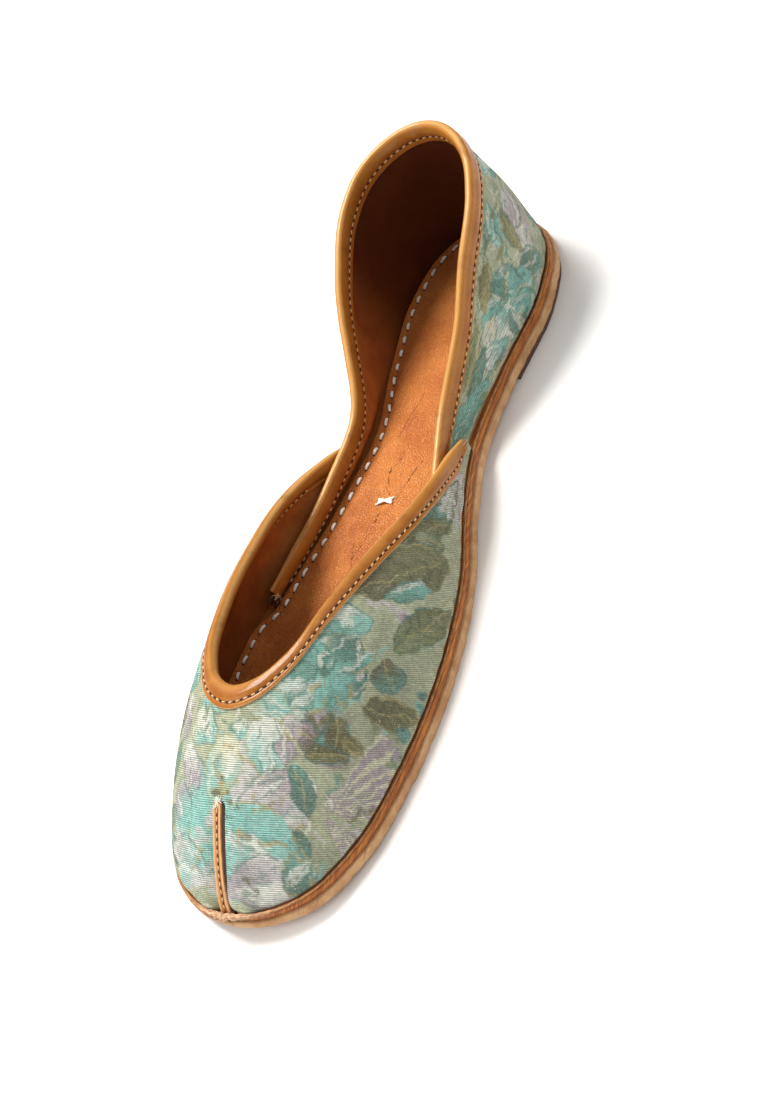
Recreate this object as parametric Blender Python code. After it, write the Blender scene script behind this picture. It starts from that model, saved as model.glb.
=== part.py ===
"""A jutti, a flat slip-on shoe of printed cloth and leather, standing empty on its sole.

X runs across the shoe, -Y towards the toe and +Z up. The origin is on the floor under the
middle of the outsole. The shoe is the same on its left and right.
"""
import bmesh
import bpy
import numpy as np

# Driving dimensions, in metres
LENGTH = 0.250             # outsole, toe to heel
BALL_WIDTH = 0.080         # outsole at its widest
THROAT_HEIGHT = 0.041      # vamp's top edge over the toes, above the floor
BACK_HEIGHT = 0.058        # collar at the back of the heel, above the floor
OUTSOLE_THICKNESS = 0.0032
WELT_THICKNESS = 0.0020
WELT_SETBACK = 0.0008      # of the welt's edge from the outsole's
UPPER_SETBACK = 0.0016     # of the upper's foot from the outsole's edge
INSOLE_THICKNESS = 0.0018
LIFT_THICKNESS = 0.0022    # heel lift
LIFT_SETBACK = 0.0010
EDGE_ROUNDING = 0.0005     # small chamfer on the leather layers
TOE_SPRING = 0.0040        # underside of the toe above the floor
WAIST_RISE = 0.0010        # extra arch under the waist
WALL = 0.0018              # cloth and lining together
BINDING_THICKNESS = 0.0007
BINDING_WIDTH = 0.0062     # down each face of the wall, from the wall's edge
STRIP_WIDTH = 0.0036       # toe strip at the sole
STRIP_LENGTH = 0.031
SEAM_PINCH = 0.0009        # how far the toe's seam pulls the cloth in
SEAM_REACH = 0.011         # width of cloth that the seam pulls in, to each side
HEEL_SWELL = 0.0015        # how far the back of the quarter bulges
JOIN_HEIGHT = 0.0054       # height at the foot where vamp and quarter are caught together
JOIN_BITE = 0.0007         # how far one wall is sunk in the other there
BARE_LINING = 0.0036       # lining left bare between the collar's binding and the foot
LAP_ROOM = 0.0006          # spare room between the two bound edges where they cross
TOE_ROOM = 0.0020          # further setback of the insole at the toe, where the cloth leans in
GAP = 0.0003               # between pieces that touch

HALF_LENGTH = LENGTH / 2
HALF_BALL = BALL_WIDTH / 2

# Outline of the sole, from the toe's tip round one side to the heel's tip.
# along: share of the length from the toe; out: share of half the ball width
OUTLINE = (
    # along, out
    (0.000, 0.00),
    (0.008, 0.31),
    (0.037, 0.61),
    (0.100, 0.84),
    (0.200, 0.965),
    (0.320, 1.00),
    (0.440, 0.90),
    (0.550, 0.70),
    (0.640, 0.595),
    (0.740, 0.61),
    (0.860, 0.68),
    (0.940, 0.56),
    (0.985, 0.30),
    (1.000, 0.00),
)

# Top edge of the vamp, from the throat to the tip of the wing.
# along: share of the length from the toe; out: share of the foot's half width there;
# up: share of the throat's height above the upper's foot
THROAT = (
    # along, out, up
    (0.215, 0.00, 1.00),
    (0.226, 0.20, 1.00),
    (0.258, 0.36, 0.98),
    (0.330, 0.50, 0.93),
    (0.420, 0.67, 0.78),
    (0.490, 0.86, 0.60),
    (0.545, 0.98, 0.42),
    (0.585, 1.00, 0.27),
    (0.622, 1.00, 0.13),
)

# Top edge of the quarter, from the back of the heel to the tip of the wing.
# out: share of the foot's half width there; up: share of the back's height above the foot
COLLAR = (
    # along, out, up
    (0.975, 0.00, 1.00),
    (0.970, 0.46, 0.998),
    (0.953, 0.75, 0.985),
    (0.915, 0.92, 0.945),
    (0.870, 0.98, 0.875),
    (0.790, 1.00, 0.70),
    (0.710, 1.00, 0.43),
    (0.640, 1.00, 0.235),
    (0.560, 0.99, 0.165),
    (0.410, 0.94, 0.150),
)

TOE_FULLNESS = 1.28        # powers of the vamp's arch: 1 straight, 2 an ellipse
SIDE_FULLNESS = 1.90
FULLNESS_REACH = 0.75      # share of the vamp's half over which one power becomes the other
TOE_SWEEP = 86             # degrees of the arch that are kept, 90 up to its crown
SIDE_SWEEP = 60
SWEEP_REACH = 0.80         # share of the vamp's half over which one sweep becomes the other
HEEL_REACH = 0.55          # share of the quarter's half over which the heel's swell dies out
BALL_FLAT = (0.24, 0.42)   # shares of the length between which the forefoot lies on the floor
HEEL_START = 0.74          # share of the length where the sole reaches the lift's height
LIFT_START = 0.75          # share of the length where the heel lift begins
LAP_FADE = (0.14, 0.05)    # shares over which the lapped wall moves in, behind and before the lap
LEG_ROWS = (0.35, 0.7, 1.0)   # shares of a binding's leg with a row of corners

VAMP_REACH = THROAT[-1][0]       # share of the length at the tip of the vamp's wing
QUARTER_REACH = COLLAR[-1][0]    # share of the length at the tip of the quarter's wing


def clear_scene():
    for thing in list(bpy.data.objects):
        bpy.data.objects.remove(thing, do_unlink=True)


def ease(value):
    """Smooth step from 0 to 1."""
    value = np.clip(value, 0.0, 1.0)
    return value * value * (3 - 2 * value)


def flowing(rows, mirror_start, mirror_end, count=600):
    """A smooth curve through the rows, sampled at even steps of its length.

    Each stretch is a Hermite cubic on chord-length knots. A mirrored end meets the
    shoe's middle plane square to it: there the columns y and up are kept and x is mirrored.
    """
    rows = np.array(rows, float)
    flip = np.array([1.0, -1.0, 1.0])[:rows.shape[1]]
    before = rows[1] * flip if mirror_start else 2 * rows[0] - rows[1]
    after = rows[-2] * flip if mirror_end else 2 * rows[-1] - rows[-2]
    spots = np.vstack([before, rows, after])
    knots = np.concatenate([[0], np.cumsum(np.linalg.norm(np.diff(spots, axis=0), axis=1))])
    slopes = np.gradient(spots, knots, axis=0)
    place = np.linspace(knots[1], knots[-2], count * 4)
    left = np.clip(np.searchsorted(knots, place, side="right") - 1, 1, len(spots) - 3)
    span = (knots[left + 1] - knots[left])[:, None]
    part = (place[:, None] - knots[left][:, None]) / span
    curve = ((1 + 2 * part) * (1 - part) ** 2 * spots[left]
             + part * (1 - part) ** 2 * span * slopes[left]
             + part ** 2 * (3 - 2 * part) * spots[left + 1]
             + part ** 2 * (part - 1) * span * slopes[left + 1])
    return evenly(curve, count)


def evenly(curve, count):
    """The same curve with its points at even steps of its length."""
    steps = np.concatenate([[0], np.cumsum(np.linalg.norm(np.diff(curve, axis=0), axis=1))])
    places = np.linspace(0, steps[-1], count)
    return np.stack([np.interp(places, steps, column) for column in curve.T], axis=1)


def side_line():
    """Right half of the outsole's outline in metres, as columns y and x."""
    rows = [(along * LENGTH - HALF_LENGTH, out * HALF_BALL) for along, out in OUTLINE]
    return flowing(rows, True, True)


SIDE = side_line()


def inset_line(inset):
    """The outline moved in by a distance, one for all or one for each point."""
    ahead = np.gradient(SIDE, axis=0)
    ahead /= np.linalg.norm(ahead, axis=1)[:, None]
    return np.stack([SIDE[:, 0] + inset * ahead[:, 1], SIDE[:, 1] - inset * ahead[:, 0]], axis=1)


def lap(y):
    """1 where the quarter's wing passes inside the vamp, 0 away from it."""
    along = (y + HALF_LENGTH) / LENGTH
    behind = ease((VAMP_REACH + LAP_FADE[0] - along) / LAP_FADE[0])
    before = ease((along - QUARTER_REACH + LAP_FADE[1]) / LAP_FADE[1])
    return behind * before


def share_at(along):
    """Share of the side line's own length at a share of the shoe's length."""
    return float(np.interp(along * LENGTH - HALF_LENGTH, SIDE[:, 0], np.linspace(0, 1, len(SIDE))))


def on_line(line, share):
    """Points of a line at shares of its length."""
    places = np.linspace(0, 1, len(line))
    return np.stack([np.interp(share, places, column) for column in line.T], axis=-1)


def rise(y):
    """Height of the outsole's underside: toe spring, flat ball, waist arch, heel lift."""
    along = (y + HALF_LENGTH) / LENGTH
    toe = TOE_SPRING * toe_share(y) ** 2
    waist = np.clip((along - BALL_FLAT[1]) / (HEEL_START - BALL_FLAT[1]), 0, 1)
    arch = WAIST_RISE * np.sin(np.pi * waist) ** 2
    return toe + ease(waist) * (LIFT_THICKNESS + GAP) + arch


def toe_share(y):
    """0 behind the front of the ball's flat, 1 at the toe's tip."""
    along = (y + HALF_LENGTH) / LENGTH
    return np.clip((BALL_FLAT[0] - along) / BALL_FLAT[0], 0, 1)


WELT_LEVEL = OUTSOLE_THICKNESS + GAP
FOOT_LEVEL = WELT_LEVEL + WELT_THICKNESS + GAP


def material(name, colour, roughness):
    """Principled material of one piece."""
    finish = bpy.data.materials.new(name)
    finish.use_nodes = True
    shader = finish.node_tree.nodes["Principled BSDF"]
    shader.inputs["Base Color"].default_value = (*colour, 1.0)
    shader.inputs["Roughness"].default_value = roughness
    shader.inputs["Metallic"].default_value = 0.0
    finish.diffuse_color = (*colour, 1.0)
    return finish


def piece(name, mesh_tool, finish, sharp_angle=0.7):
    """One named object from a bmesh, its faces turned outwards and shaded smooth."""
    bmesh.ops.recalc_face_normals(mesh_tool, faces=mesh_tool.faces)
    mesh = bpy.data.meshes.new(name)
    mesh_tool.to_mesh(mesh)
    mesh_tool.free()
    mesh.shade_smooth()
    mesh.set_sharp_from_angle(angle=sharp_angle)
    mesh.materials.append(finish)
    made = bpy.data.objects.new(name, mesh)
    bpy.context.collection.objects.link(made)
    return made


def bridge(mesh_tool, first, second, closed):
    """Quads between two rows of vertices."""
    count = len(first) if closed else len(first) - 1
    for index in range(count):
        after = (index + 1) % len(first)
        mesh_tool.faces.new((first[index], first[after], second[after], second[index]))


def weave(mesh_tool, first, second):
    """Triangles between two open rows, each quad cut from its lower to its upper corner.

    Walls and bindings that run side by side then bend along the same lines.
    """
    for here, above, next_here, next_above in zip(first[:-1], first[1:], second[:-1], second[1:]):
        if above.co.z >= here.co.z:
            mesh_tool.faces.new((here, above, next_above))
            mesh_tool.faces.new((here, next_above, next_here))
        else:
            mesh_tool.faces.new((here, above, next_here))
            mesh_tool.faces.new((above, next_above, next_here))


def slab(name, low_level, thickness, setback, finish, start=0.0, stations=26):
    """A leather layer of the sole: the outline set back, from low_level() to a thickness above.

    start is the share of the length where the layer begins, with a square front edge. A
    layer that begins at the toe has its corners closer together at both tips.
    """
    mesh_tool = bmesh.new()
    first = share_at(start) if start else 0.0
    turn = np.linspace(0, 1, stations)
    shares = first + (1 - first) * (turn if start else turn - 0.045 * np.sin(2 * np.pi * turn))
    edge = EDGE_ROUNDING
    levels = ((0.0, edge), (edge, 0.0), (thickness - edge, 0.0), (thickness, edge))
    rings = []
    for height, tuck in levels:
        line = on_line(inset_line(setback + tuck), shares)
        if start:
            line[0, 0] += tuck
        right = [(x, y) for y, x in line]
        left = [(-x, y) for y, x in line]
        inner = right[:-1] if start else right[1:-1]
        opposite = left[:-1] if start else left[1:-1]
        tips = ([] if start else [(0.0, right[0][1])]), [(0.0, right[-1][1])]
        loop = tips[0] + inner + tips[1] + opposite[::-1]
        rings.append([
            mesh_tool.verts.new((x, y, low_level(y) + height)) for x, y in loop
        ])
    for lower, upper in zip(rings[:-1], rings[1:]):
        bridge(mesh_tool, lower, upper, True)
    for ring in (rings[0], rings[-1]):
        cap_across(mesh_tool, ring, tip_first=not start)
    return piece(name, mesh_tool, finish, 0.5)


def cap_across(mesh_tool, ring, tip_first):
    """Close a symmetric ring with strips that run straight across the shoe."""
    count = len(ring)
    if tip_first:
        rights = ring[1:count // 2]
        lefts = ring[:count // 2:-1]
        mesh_tool.faces.new((ring[0], rights[0], lefts[0]))
        heel = ring[count // 2]
    else:
        middle = (count - 1) // 2
        rights = ring[:middle]
        lefts = ring[:middle:-1]
        heel = ring[middle]
    for index in range(len(rights) - 1):
        mesh_tool.faces.new((rights[index], rights[index + 1], lefts[index + 1], lefts[index]))
    mesh_tool.faces.new((rights[-1], heel, lefts[-1]))


class Panel:
    """A wall of the upper: ribs that rise from the upper's foot to a top edge.

    A station runs from -1 to 1 over the panel, 0 on the shoe's middle plane. Places on
    the wall are given by their distance down from the top edge and out from the face.
    turn is 1 where stations run from the toe backwards and -1 from the heel forwards.
    """

    STEP = 0.002               # half a station step for slopes

    def __init__(self, foot, top, arch, turn):
        self.foot = foot
        self.top = top
        self.arch = arch
        self.turn = turn

    def face(self, station, share):
        """Points of the outer face, for shares 0 at the foot to 1 at the top edge."""
        side = np.sign(station) + (station == 0)
        foot = self.foot(abs(station))
        top = self.top(abs(station))
        across, up, swell = self.arch(abs(station), share, foot, top)
        point = foot + (top - foot) * np.stack([across, across, up], axis=1)
        point[:, :2] += swell[:, None] * self.outward(abs(station))
        point[:, 0] *= side
        return point

    def outward(self, station):
        """Level direction out of the shoe, square to the foot line."""
        back = max(station - self.STEP, 0.0)
        ahead = (self.foot(back + 2 * self.STEP) - self.foot(back))[:2]
        ahead /= np.linalg.norm(ahead)
        return self.turn * np.array([ahead[1], -ahead[0]])

    def rib(self, station, count=80):
        """One rib's points, normals and distances down from the top edge."""
        share = np.linspace(0, 1, count)
        point = self.face(station, share)
        low, high = max(station - self.STEP, -1.0), min(station + self.STEP, 1.0)
        beside = self.face(high, share) - self.face(low, share)
        upward = np.gradient(point, axis=0)
        normal = self.turn * np.cross(beside, upward)
        normal /= np.linalg.norm(normal, axis=1)[:, None]
        length = np.concatenate([[0], np.cumsum(np.linalg.norm(np.diff(point, axis=0), axis=1))])
        return point, normal, length[-1] - length

    def height(self, station):
        """Length of a rib from foot to top edge."""
        return self.rib(station)[2][0]

    def room(self, station, bare):
        """Distance down from the top edge to a height above the foot."""
        point, _, below = self.rib(station)
        return float(np.interp(bare, point[:, 2] - point[0, 2], below))

    def places(self, station, down, out):
        """Points at distances down from the top edge and out from the outer face."""
        point, normal, below = self.rib(station)
        order = np.argsort(below)
        down = np.asarray(down, float)
        inside = np.clip(down, 0, below.max())
        spot = np.stack([np.interp(inside, below[order], column[order]) for column in point.T], axis=1)
        facing = np.stack([np.interp(inside, below[order], column[order]) for column in normal.T], axis=1)
        ahead = point[-1] - point[-3]
        ahead /= np.linalg.norm(ahead)
        beyond = np.clip(-down, 0, None)
        return spot + facing * np.asarray(out, float)[:, None] + ahead * beyond[:, None]


def skin(name, panel, stations, section, finish):
    """A solid whose section at each station is two paths, outer and inner, on a panel."""
    mesh_tool = bmesh.new()
    rows = []
    for station in stations:
        outer, inner = section(station)
        rows.append([
            [mesh_tool.verts.new(spot) for spot in panel.places(station, *np.array(path).T)]
            for path in (outer, inner)
        ])
    for (outer, inner), (next_outer, next_inner) in zip(rows[:-1], rows[1:]):
        weave(mesh_tool, outer, next_outer)
        weave(mesh_tool, inner, next_inner)
        for end in (0, -1):
            weave(mesh_tool, (outer[end], inner[end]), (next_outer[end], next_inner[end]))
    for outer, inner in (rows[0], rows[-1]):
        bridge(mesh_tool, outer, inner, False)
    return piece(name, mesh_tool, finish)


FOOT_LINE = inset_line(UPPER_SETBACK)
THROAT_RISE = THROAT_HEIGHT - FOOT_LEVEL
BACK_RISE = BACK_HEIGHT - FOOT_LEVEL - LIFT_THICKNESS - GAP
VAMP_SHARE = share_at(VAMP_REACH)
QUARTER_SHARE = share_at(QUARTER_REACH)
LAP_DEPTH = WALL + 2 * (GAP + BINDING_THICKNESS) + GAP + LAP_ROOM


def foot_width(y):
    """Half width of the upper's foot at a place along the shoe."""
    return np.interp(y, FOOT_LINE[:, 0], FOOT_LINE[:, 1])


def throat_line():
    """The vamp's top edge, right half, as columns y, x and height above the foot."""
    rows = []
    for along, out, up in THROAT:
        y = along * LENGTH - HALF_LENGTH
        rows.append((y, out * foot_width(y), up * THROAT_RISE))
    return flowing(rows, True, False)


def collar_line():
    """The quarter's top edge, right half, as columns y, x and height above the foot."""
    rows = []
    for along, out, up in COLLAR:
        y = along * LENGTH - HALF_LENGTH
        rows.append((y, out * foot_width(y), up * BACK_RISE))
    return flowing(rows, True, False)


THROAT_LINE = throat_line()
COLLAR_LINE = collar_line()


def vamp_foot(share):
    y, x = on_line(FOOT_LINE, share * VAMP_SHARE)
    around = share * VAMP_SHARE * line_length(FOOT_LINE)
    pinch = SEAM_PINCH * np.exp(-(around / SEAM_REACH * 2) ** 2)
    return np.array([x, y + pinch, rise(y) + FOOT_LEVEL])


def line_length(line):
    return np.linalg.norm(np.diff(line[:, :2], axis=0), axis=1).sum()


def vamp_top(share):
    y, x, up = on_line(THROAT_LINE, share)
    return np.array([x, y, rise(y) + FOOT_LEVEL + up])


def vamp_arch(share, height, foot, top):
    """An arch that leaves the foot upright: flat over the toes, full at the sides.

    It is |1 - across| ** power + up ** power = 1, cut off before its crown.
    """
    power = TOE_FULLNESS + (SIDE_FULLNESS - TOE_FULLNESS) * ease(share / FULLNESS_REACH)
    sweep = np.radians(TOE_SWEEP + (SIDE_SWEEP - TOE_SWEEP) * ease(share / SWEEP_REACH))
    angle = sweep * height
    across = (1 - np.cos(angle) ** (2 / power)) / (1 - np.cos(sweep) ** (2 / power))
    up = (np.sin(angle) / np.sin(sweep)) ** (2 / power)
    return across, up, 0 * height


def quarter_foot(share):
    around = 1 - share * (1 - QUARTER_SHARE)
    y, x = on_line(FOOT_LINE, around)
    return np.array([x - lapped(y) * (WALL - JOIN_BITE), y, rise(y) + FOOT_LEVEL + GAP / 2])


def quarter_top(share):
    y, x, up = on_line(COLLAR_LINE, share)
    return np.array([x - lapped(y) * (WALL - JOIN_BITE), y, rise(y) + FOOT_LEVEL + up])


def lapped(y):
    """lap() held at 1 to the wing's tip, because the wing ends there."""
    return lap(np.maximum(y, QUARTER_REACH * LENGTH - HALF_LENGTH))


def quarter_arch(share, height, foot, top):
    """Swollen round the heel; at the lap the wall steps in above its foot."""
    swell = HEEL_SWELL * (1 - ease(share / HEEL_REACH)) * np.sin(np.pi * height) ** 2
    step = lapped(foot[1]) * (LAP_DEPTH - WALL + JOIN_BITE)
    swell = swell - step * ease(height * (top[2] - foot[2]) / JOIN_HEIGHT)
    return ease(height), height, swell


VAMP = Panel(vamp_foot, vamp_top, vamp_arch, 1)
QUARTER = Panel(quarter_foot, quarter_top, quarter_arch, -1)


def spread(count, crowding=0.0):
    """Stations from -1 to 1, closer together near the middle plane by crowding."""
    line = np.linspace(-1, 1, count)
    return line * (1 - crowding) + crowding * line ** 3


def leg(panel, station, bare):
    """Length of a binding's leg that leaves a bare height at the foot."""
    return np.clip(panel.room(station, bare), GAP, BINDING_WIDTH)


def wall_section(panel, rows, bare):
    """Section of a bare wall: its outer face and, a wall's thickness in, its lining.

    Its upper rows lie where the binding's leg has its own, so the two run side by side.
    """
    def section(station):
        length = leg(panel, station, bare)
        upper = [length * part for part in (0.0,) + LEG_ROWS]
        lower = np.linspace(length, panel.height(station), rows)[1:]
        down = (upper + list(lower))[::-1]
        return [(d, 0.0) for d in down], [(d, -WALL) for d in down]
    return section


def binding_section(panel, outer_foot, inner_foot, bead_steps=6):
    """Section of a leather strip folded over the wall's edge: a bead and two flat legs.

    Each leg is BINDING_WIDTH long, or as long as leaves a bare height at the foot.
    """
    bore = WALL / 2 + GAP
    crown = bore + BINDING_THICKNESS

    def section(station):
        outer_leg = leg(panel, station, outer_foot)
        inner_leg = leg(panel, station, inner_foot)
        angles = np.linspace(0, np.pi, bead_steps)
        paths = []
        for radius in (crown, bore):
            arc = [(-radius * np.sin(a) - GAP, radius * np.cos(a) - WALL / 2) for a in angles]
            outer_leg_row = [(outer_leg * part, radius - WALL / 2) for part in LEG_ROWS[::-1]]
            inner_leg_row = [(inner_leg * part, -radius - WALL / 2) for part in LEG_ROWS]
            paths.append(outer_leg_row + arc + inner_leg_row)
        return paths
    return section


def strip_section(panel, rows):
    """Section of the flat strip over the toe's seam, set on the cloth."""
    def section(station):
        height = panel.height(station)
        down = np.linspace(height - 2 * GAP, height - STRIP_LENGTH, rows)
        low, high = GAP, GAP + BINDING_THICKNESS
        return [(d, high) for d in down], [(d, low) for d in down]
    return section


def build():
    clear_scene()
    rough_tan = material("rough_sole_leather", (0.55, 0.30, 0.13), 0.75)
    brown = material("stained_welt_leather", (0.28, 0.10, 0.035), 0.6)
    dark = material("dark_lift_leather", (0.12, 0.05, 0.03), 0.7)
    insole_leather = material("insole_leather", (0.47, 0.19, 0.07), 0.5)
    cloth = material("printed_cloth", (0.42, 0.55, 0.45), 0.85)
    golden = material("binding_leather", (0.52, 0.25, 0.08), 0.35)

    def ground(y):
        return 0.0 * y

    def under_welt(y):
        return rise(y) + WELT_LEVEL

    def under_foot(y):
        return rise(y) + FOOT_LEVEL

    inside = UPPER_SETBACK + WALL + GAP + lap(SIDE[:, 0]) * LAP_DEPTH
    inside = inside + TOE_ROOM * ease(toe_share(SIDE[:, 0]))
    slab("heel_lift", ground, LIFT_THICKNESS, LIFT_SETBACK, dark, LIFT_START, 14)
    slab("outsole", rise, OUTSOLE_THICKNESS, 0.0, rough_tan)
    slab("welt", under_welt, WELT_THICKNESS, WELT_SETBACK, brown)
    slab("insole", under_foot, INSOLE_THICKNESS, inside, insole_leather)

    vamp_stations = spread(53, 0.15)
    quarter_stations = spread(51)
    upper = skin("upper", VAMP, vamp_stations, wall_section(VAMP, 8, JOIN_HEIGHT), cloth)
    quarter = skin("quarter_cutter", QUARTER, quarter_stations,
                   wall_section(QUARTER, 6, BARE_LINING), cloth)
    quarter.hide_render = True
    quarter.display_type = "WIRE"
    union = upper.modifiers.new("lap", "BOOLEAN")
    union.operation = "UNION"
    union.solver = "EXACT"
    union.object = quarter

    skin("throat_binding", VAMP, vamp_stations[1:-1],
         binding_section(VAMP, 2 * GAP, JOIN_HEIGHT), golden)
    skin("collar_binding", QUARTER, quarter_stations[1:-1],
         binding_section(QUARTER, JOIN_HEIGHT + WALL / 2, BARE_LINING), golden)
    half = STRIP_WIDTH / 2 / (VAMP_SHARE * line_length(FOOT_LINE))
    skin("toe_strip", VAMP, np.linspace(-half, half, 5), strip_section(VAMP, 12), golden)


build()
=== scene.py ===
"""The look of a jutti: leather sole, ribbed cloth with printed flowers, bound leather edges."""

import bmesh
import bpy
import numpy as np
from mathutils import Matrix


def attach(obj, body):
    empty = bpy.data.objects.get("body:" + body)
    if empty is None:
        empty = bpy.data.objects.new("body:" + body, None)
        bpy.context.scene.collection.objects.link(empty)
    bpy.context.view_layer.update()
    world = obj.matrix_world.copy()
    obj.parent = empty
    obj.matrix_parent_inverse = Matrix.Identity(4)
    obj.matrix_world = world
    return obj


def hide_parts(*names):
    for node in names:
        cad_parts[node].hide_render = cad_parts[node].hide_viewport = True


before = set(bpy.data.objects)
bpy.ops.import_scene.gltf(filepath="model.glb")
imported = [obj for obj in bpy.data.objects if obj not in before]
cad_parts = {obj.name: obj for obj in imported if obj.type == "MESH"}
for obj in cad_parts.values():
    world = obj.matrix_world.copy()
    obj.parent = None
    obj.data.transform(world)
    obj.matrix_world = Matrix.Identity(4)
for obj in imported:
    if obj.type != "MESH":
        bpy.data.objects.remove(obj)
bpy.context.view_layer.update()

# CAMERA AND LIGHT. A white room with three softboxes: the strongest is up and to the left in
# the picture, one stands before the toe, and a weak one fills the shadows on the right. The
# camera is rolled so that the heel is at the top of the picture.
AZIMUTH, ELEVATION, ROLL = np.radians((55.5, 42.0, -44.0))
PICTURE_HEIGHT = 1108      # pixels
FOCAL = 2000.0             # pixels of that picture
SENSOR = 24.0
DISTANCE = 0.604
SLIDE = (0.0012, 0.0010)
ROOM_LIGHT = 0.31
LAMP_COLOUR = (1.0, 0.975, 0.94)


def unit(vectors):
    """Vectors divided by their lengths."""
    return vectors / np.linalg.norm(vectors, axis=-1, keepdims=True)


def stand(data, name, side, upward, away, place):
    """Camera or lamp at a place, with its x, y and z along three directions."""
    made = bpy.data.objects.new(name, data)
    bpy.context.collection.objects.link(made)
    matrix = np.eye(4)
    matrix[:3] = np.stack([side, upward, away, place], axis=1)
    made.matrix_world = matrix.T.tolist()
    return made


def softbox(name, place, size, power):
    """Square area light that faces the shoe."""
    glow = bpy.data.lights.new(name, "AREA")
    glow.size = size
    glow.energy = power
    glow.color = LAMP_COLOUR
    away = unit(np.array(place))
    side = unit(np.cross((0.0, 1.0, 0.0), away))
    stand(glow, name, side, np.cross(away, side), away, place)


back = np.array([np.sin(AZIMUTH) * np.cos(ELEVATION), -np.cos(AZIMUTH) * np.cos(ELEVATION),
                 np.sin(ELEVATION)])
level_right = np.array([np.cos(AZIMUTH), np.sin(AZIMUTH), 0.0])
level_up = np.cross(back, level_right)
right = np.cos(ROLL) * level_right + np.sin(ROLL) * level_up
up = -np.sin(ROLL) * level_right + np.cos(ROLL) * level_up
eye = -SLIDE[0] * right - SLIDE[1] * up + DISTANCE * back

lens = bpy.data.cameras.new("picture_camera")
lens.sensor_fit = "VERTICAL"
lens.sensor_height = SENSOR
lens.lens = SENSOR * FOCAL / PICTURE_HEIGHT
lens.clip_start = 0.01
bpy.context.scene.camera = stand(lens, "picture_camera", right, up, back, eye)

room = bpy.data.worlds.new("white_room")
room.use_nodes = True
background = room.node_tree.nodes["Background"].inputs
background["Color"].default_value = (1.0, 0.99, 0.97, 1.0)
background["Strength"].default_value = ROOM_LIGHT
bpy.context.scene.world = room
bpy.context.scene.view_settings.view_transform = "Standard"

softbox("key_softbox", (-0.44, 0.20, 1.06), 0.45, 20.0)
softbox("front_softbox", (-0.60, -0.9, 0.75), 0.9, 8.0)
softbox("fill_softbox", (0.80, 0.05, 0.80), 0.9, 3.6)


# OUTSOLE. A thin flat layer of firm tan leather, cut by hand, with a rough edge that shows
# fibres along it. It springs up at the toe and steps up over the lift at the heel.
LENGTH = 0.250
BALL_WIDTH = 0.080
OUTSOLE_THICKNESS = 0.0032
TOE_SPRING = 0.0040
WAIST_RISE = 0.0010
LIFT_THICKNESS = 0.0022
GAP = 0.0003
BALL_FLAT = (0.24, 0.42)
HEEL_START = 0.74
OUTLINE = (
    # along (share of the length from the toe), out (share of half the ball width)
    (0.000, 0.00), (0.008, 0.31), (0.037, 0.61), (0.100, 0.84), (0.200, 0.965),
    (0.320, 1.00), (0.440, 0.90), (0.550, 0.70), (0.640, 0.595), (0.740, 0.61),
    (0.860, 0.68), (0.940, 0.56), (0.985, 0.30), (1.000, 0.00),
)


def ease(value):
    """Smooth step 3 t^2 - 2 t^3 from 0 to 1."""
    value = np.clip(value, 0.0, 1.0)
    return value * value * (3 - 2 * value)


def bell(value, middle, width):
    """exp(-((value - middle) / width)^2)."""
    return np.exp(-((value - middle) / width) ** 2)


def lengths(points, axis=0):
    """Running length along one axis of a line or a grid of points."""
    steps = np.linalg.norm(np.diff(points, axis=axis), axis=-1)
    zero = np.zeros_like(np.take(steps, [0], axis=axis))
    return np.cumsum(np.concatenate([zero, steps], axis=axis), axis=axis)


def flowing(rows, mirror_start, mirror_end, count=1200):
    """Hermite cubics on chord-length knots through the rows, sampled at even steps."""
    rows = np.array(rows, float)
    flip = np.array([1.0, -1.0, 1.0])[:rows.shape[1]]
    before = rows[1] * flip if mirror_start else 2 * rows[0] - rows[1]
    after = rows[-2] * flip if mirror_end else 2 * rows[-1] - rows[-2]
    spots = np.vstack([before, rows, after])
    knots = lengths(spots)
    slopes = np.gradient(spots, knots, axis=0)
    place = np.linspace(knots[1], knots[-2], count * 4)
    left = np.clip(np.searchsorted(knots, place, side="right") - 1, 1, len(spots) - 3)
    span = (knots[left + 1] - knots[left])[:, None]
    part = (place[:, None] - knots[left][:, None]) / span
    curve = ((1 + 2 * part) * (1 - part) ** 2 * spots[left]
             + part * (1 - part) ** 2 * span * slopes[left]
             + part ** 2 * (3 - 2 * part) * spots[left + 1]
             + part ** 2 * (part - 1) * span * slopes[left + 1])
    steps = lengths(curve)
    places = np.linspace(0, steps[-1], count)
    return np.stack([np.interp(places, steps, column) for column in curve.T], axis=1)


SIDE = flowing([(a * LENGTH - LENGTH / 2, out * BALL_WIDTH / 2) for a, out in OUTLINE], True, True)
AHEAD = unit(np.gradient(SIDE, axis=0))


def inset_line(inset):
    """The outline's points moved in square to it: columns y and x."""
    return np.stack([SIDE[:, 0] + inset * AHEAD[:, 1], SIDE[:, 1] - inset * AHEAD[:, 0]], axis=1)


def on_line(line, share):
    """Points of a line at shares of its length."""
    places = np.linspace(0, 1, len(line))
    return np.stack([np.interp(share, places, column) for column in line.T], axis=-1)


def share_at(along):
    """Share of the side line's length at a share of the shoe's length."""
    return float(np.interp(along * LENGTH - LENGTH / 2, SIDE[:, 0], np.linspace(0, 1, len(SIDE))))


def toe_share(y):
    """0 behind the front of the ball's flat, 1 at the toe's tip."""
    return np.clip((BALL_FLAT[0] - (y / LENGTH + 0.5)) / BALL_FLAT[0], 0, 1)


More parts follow.
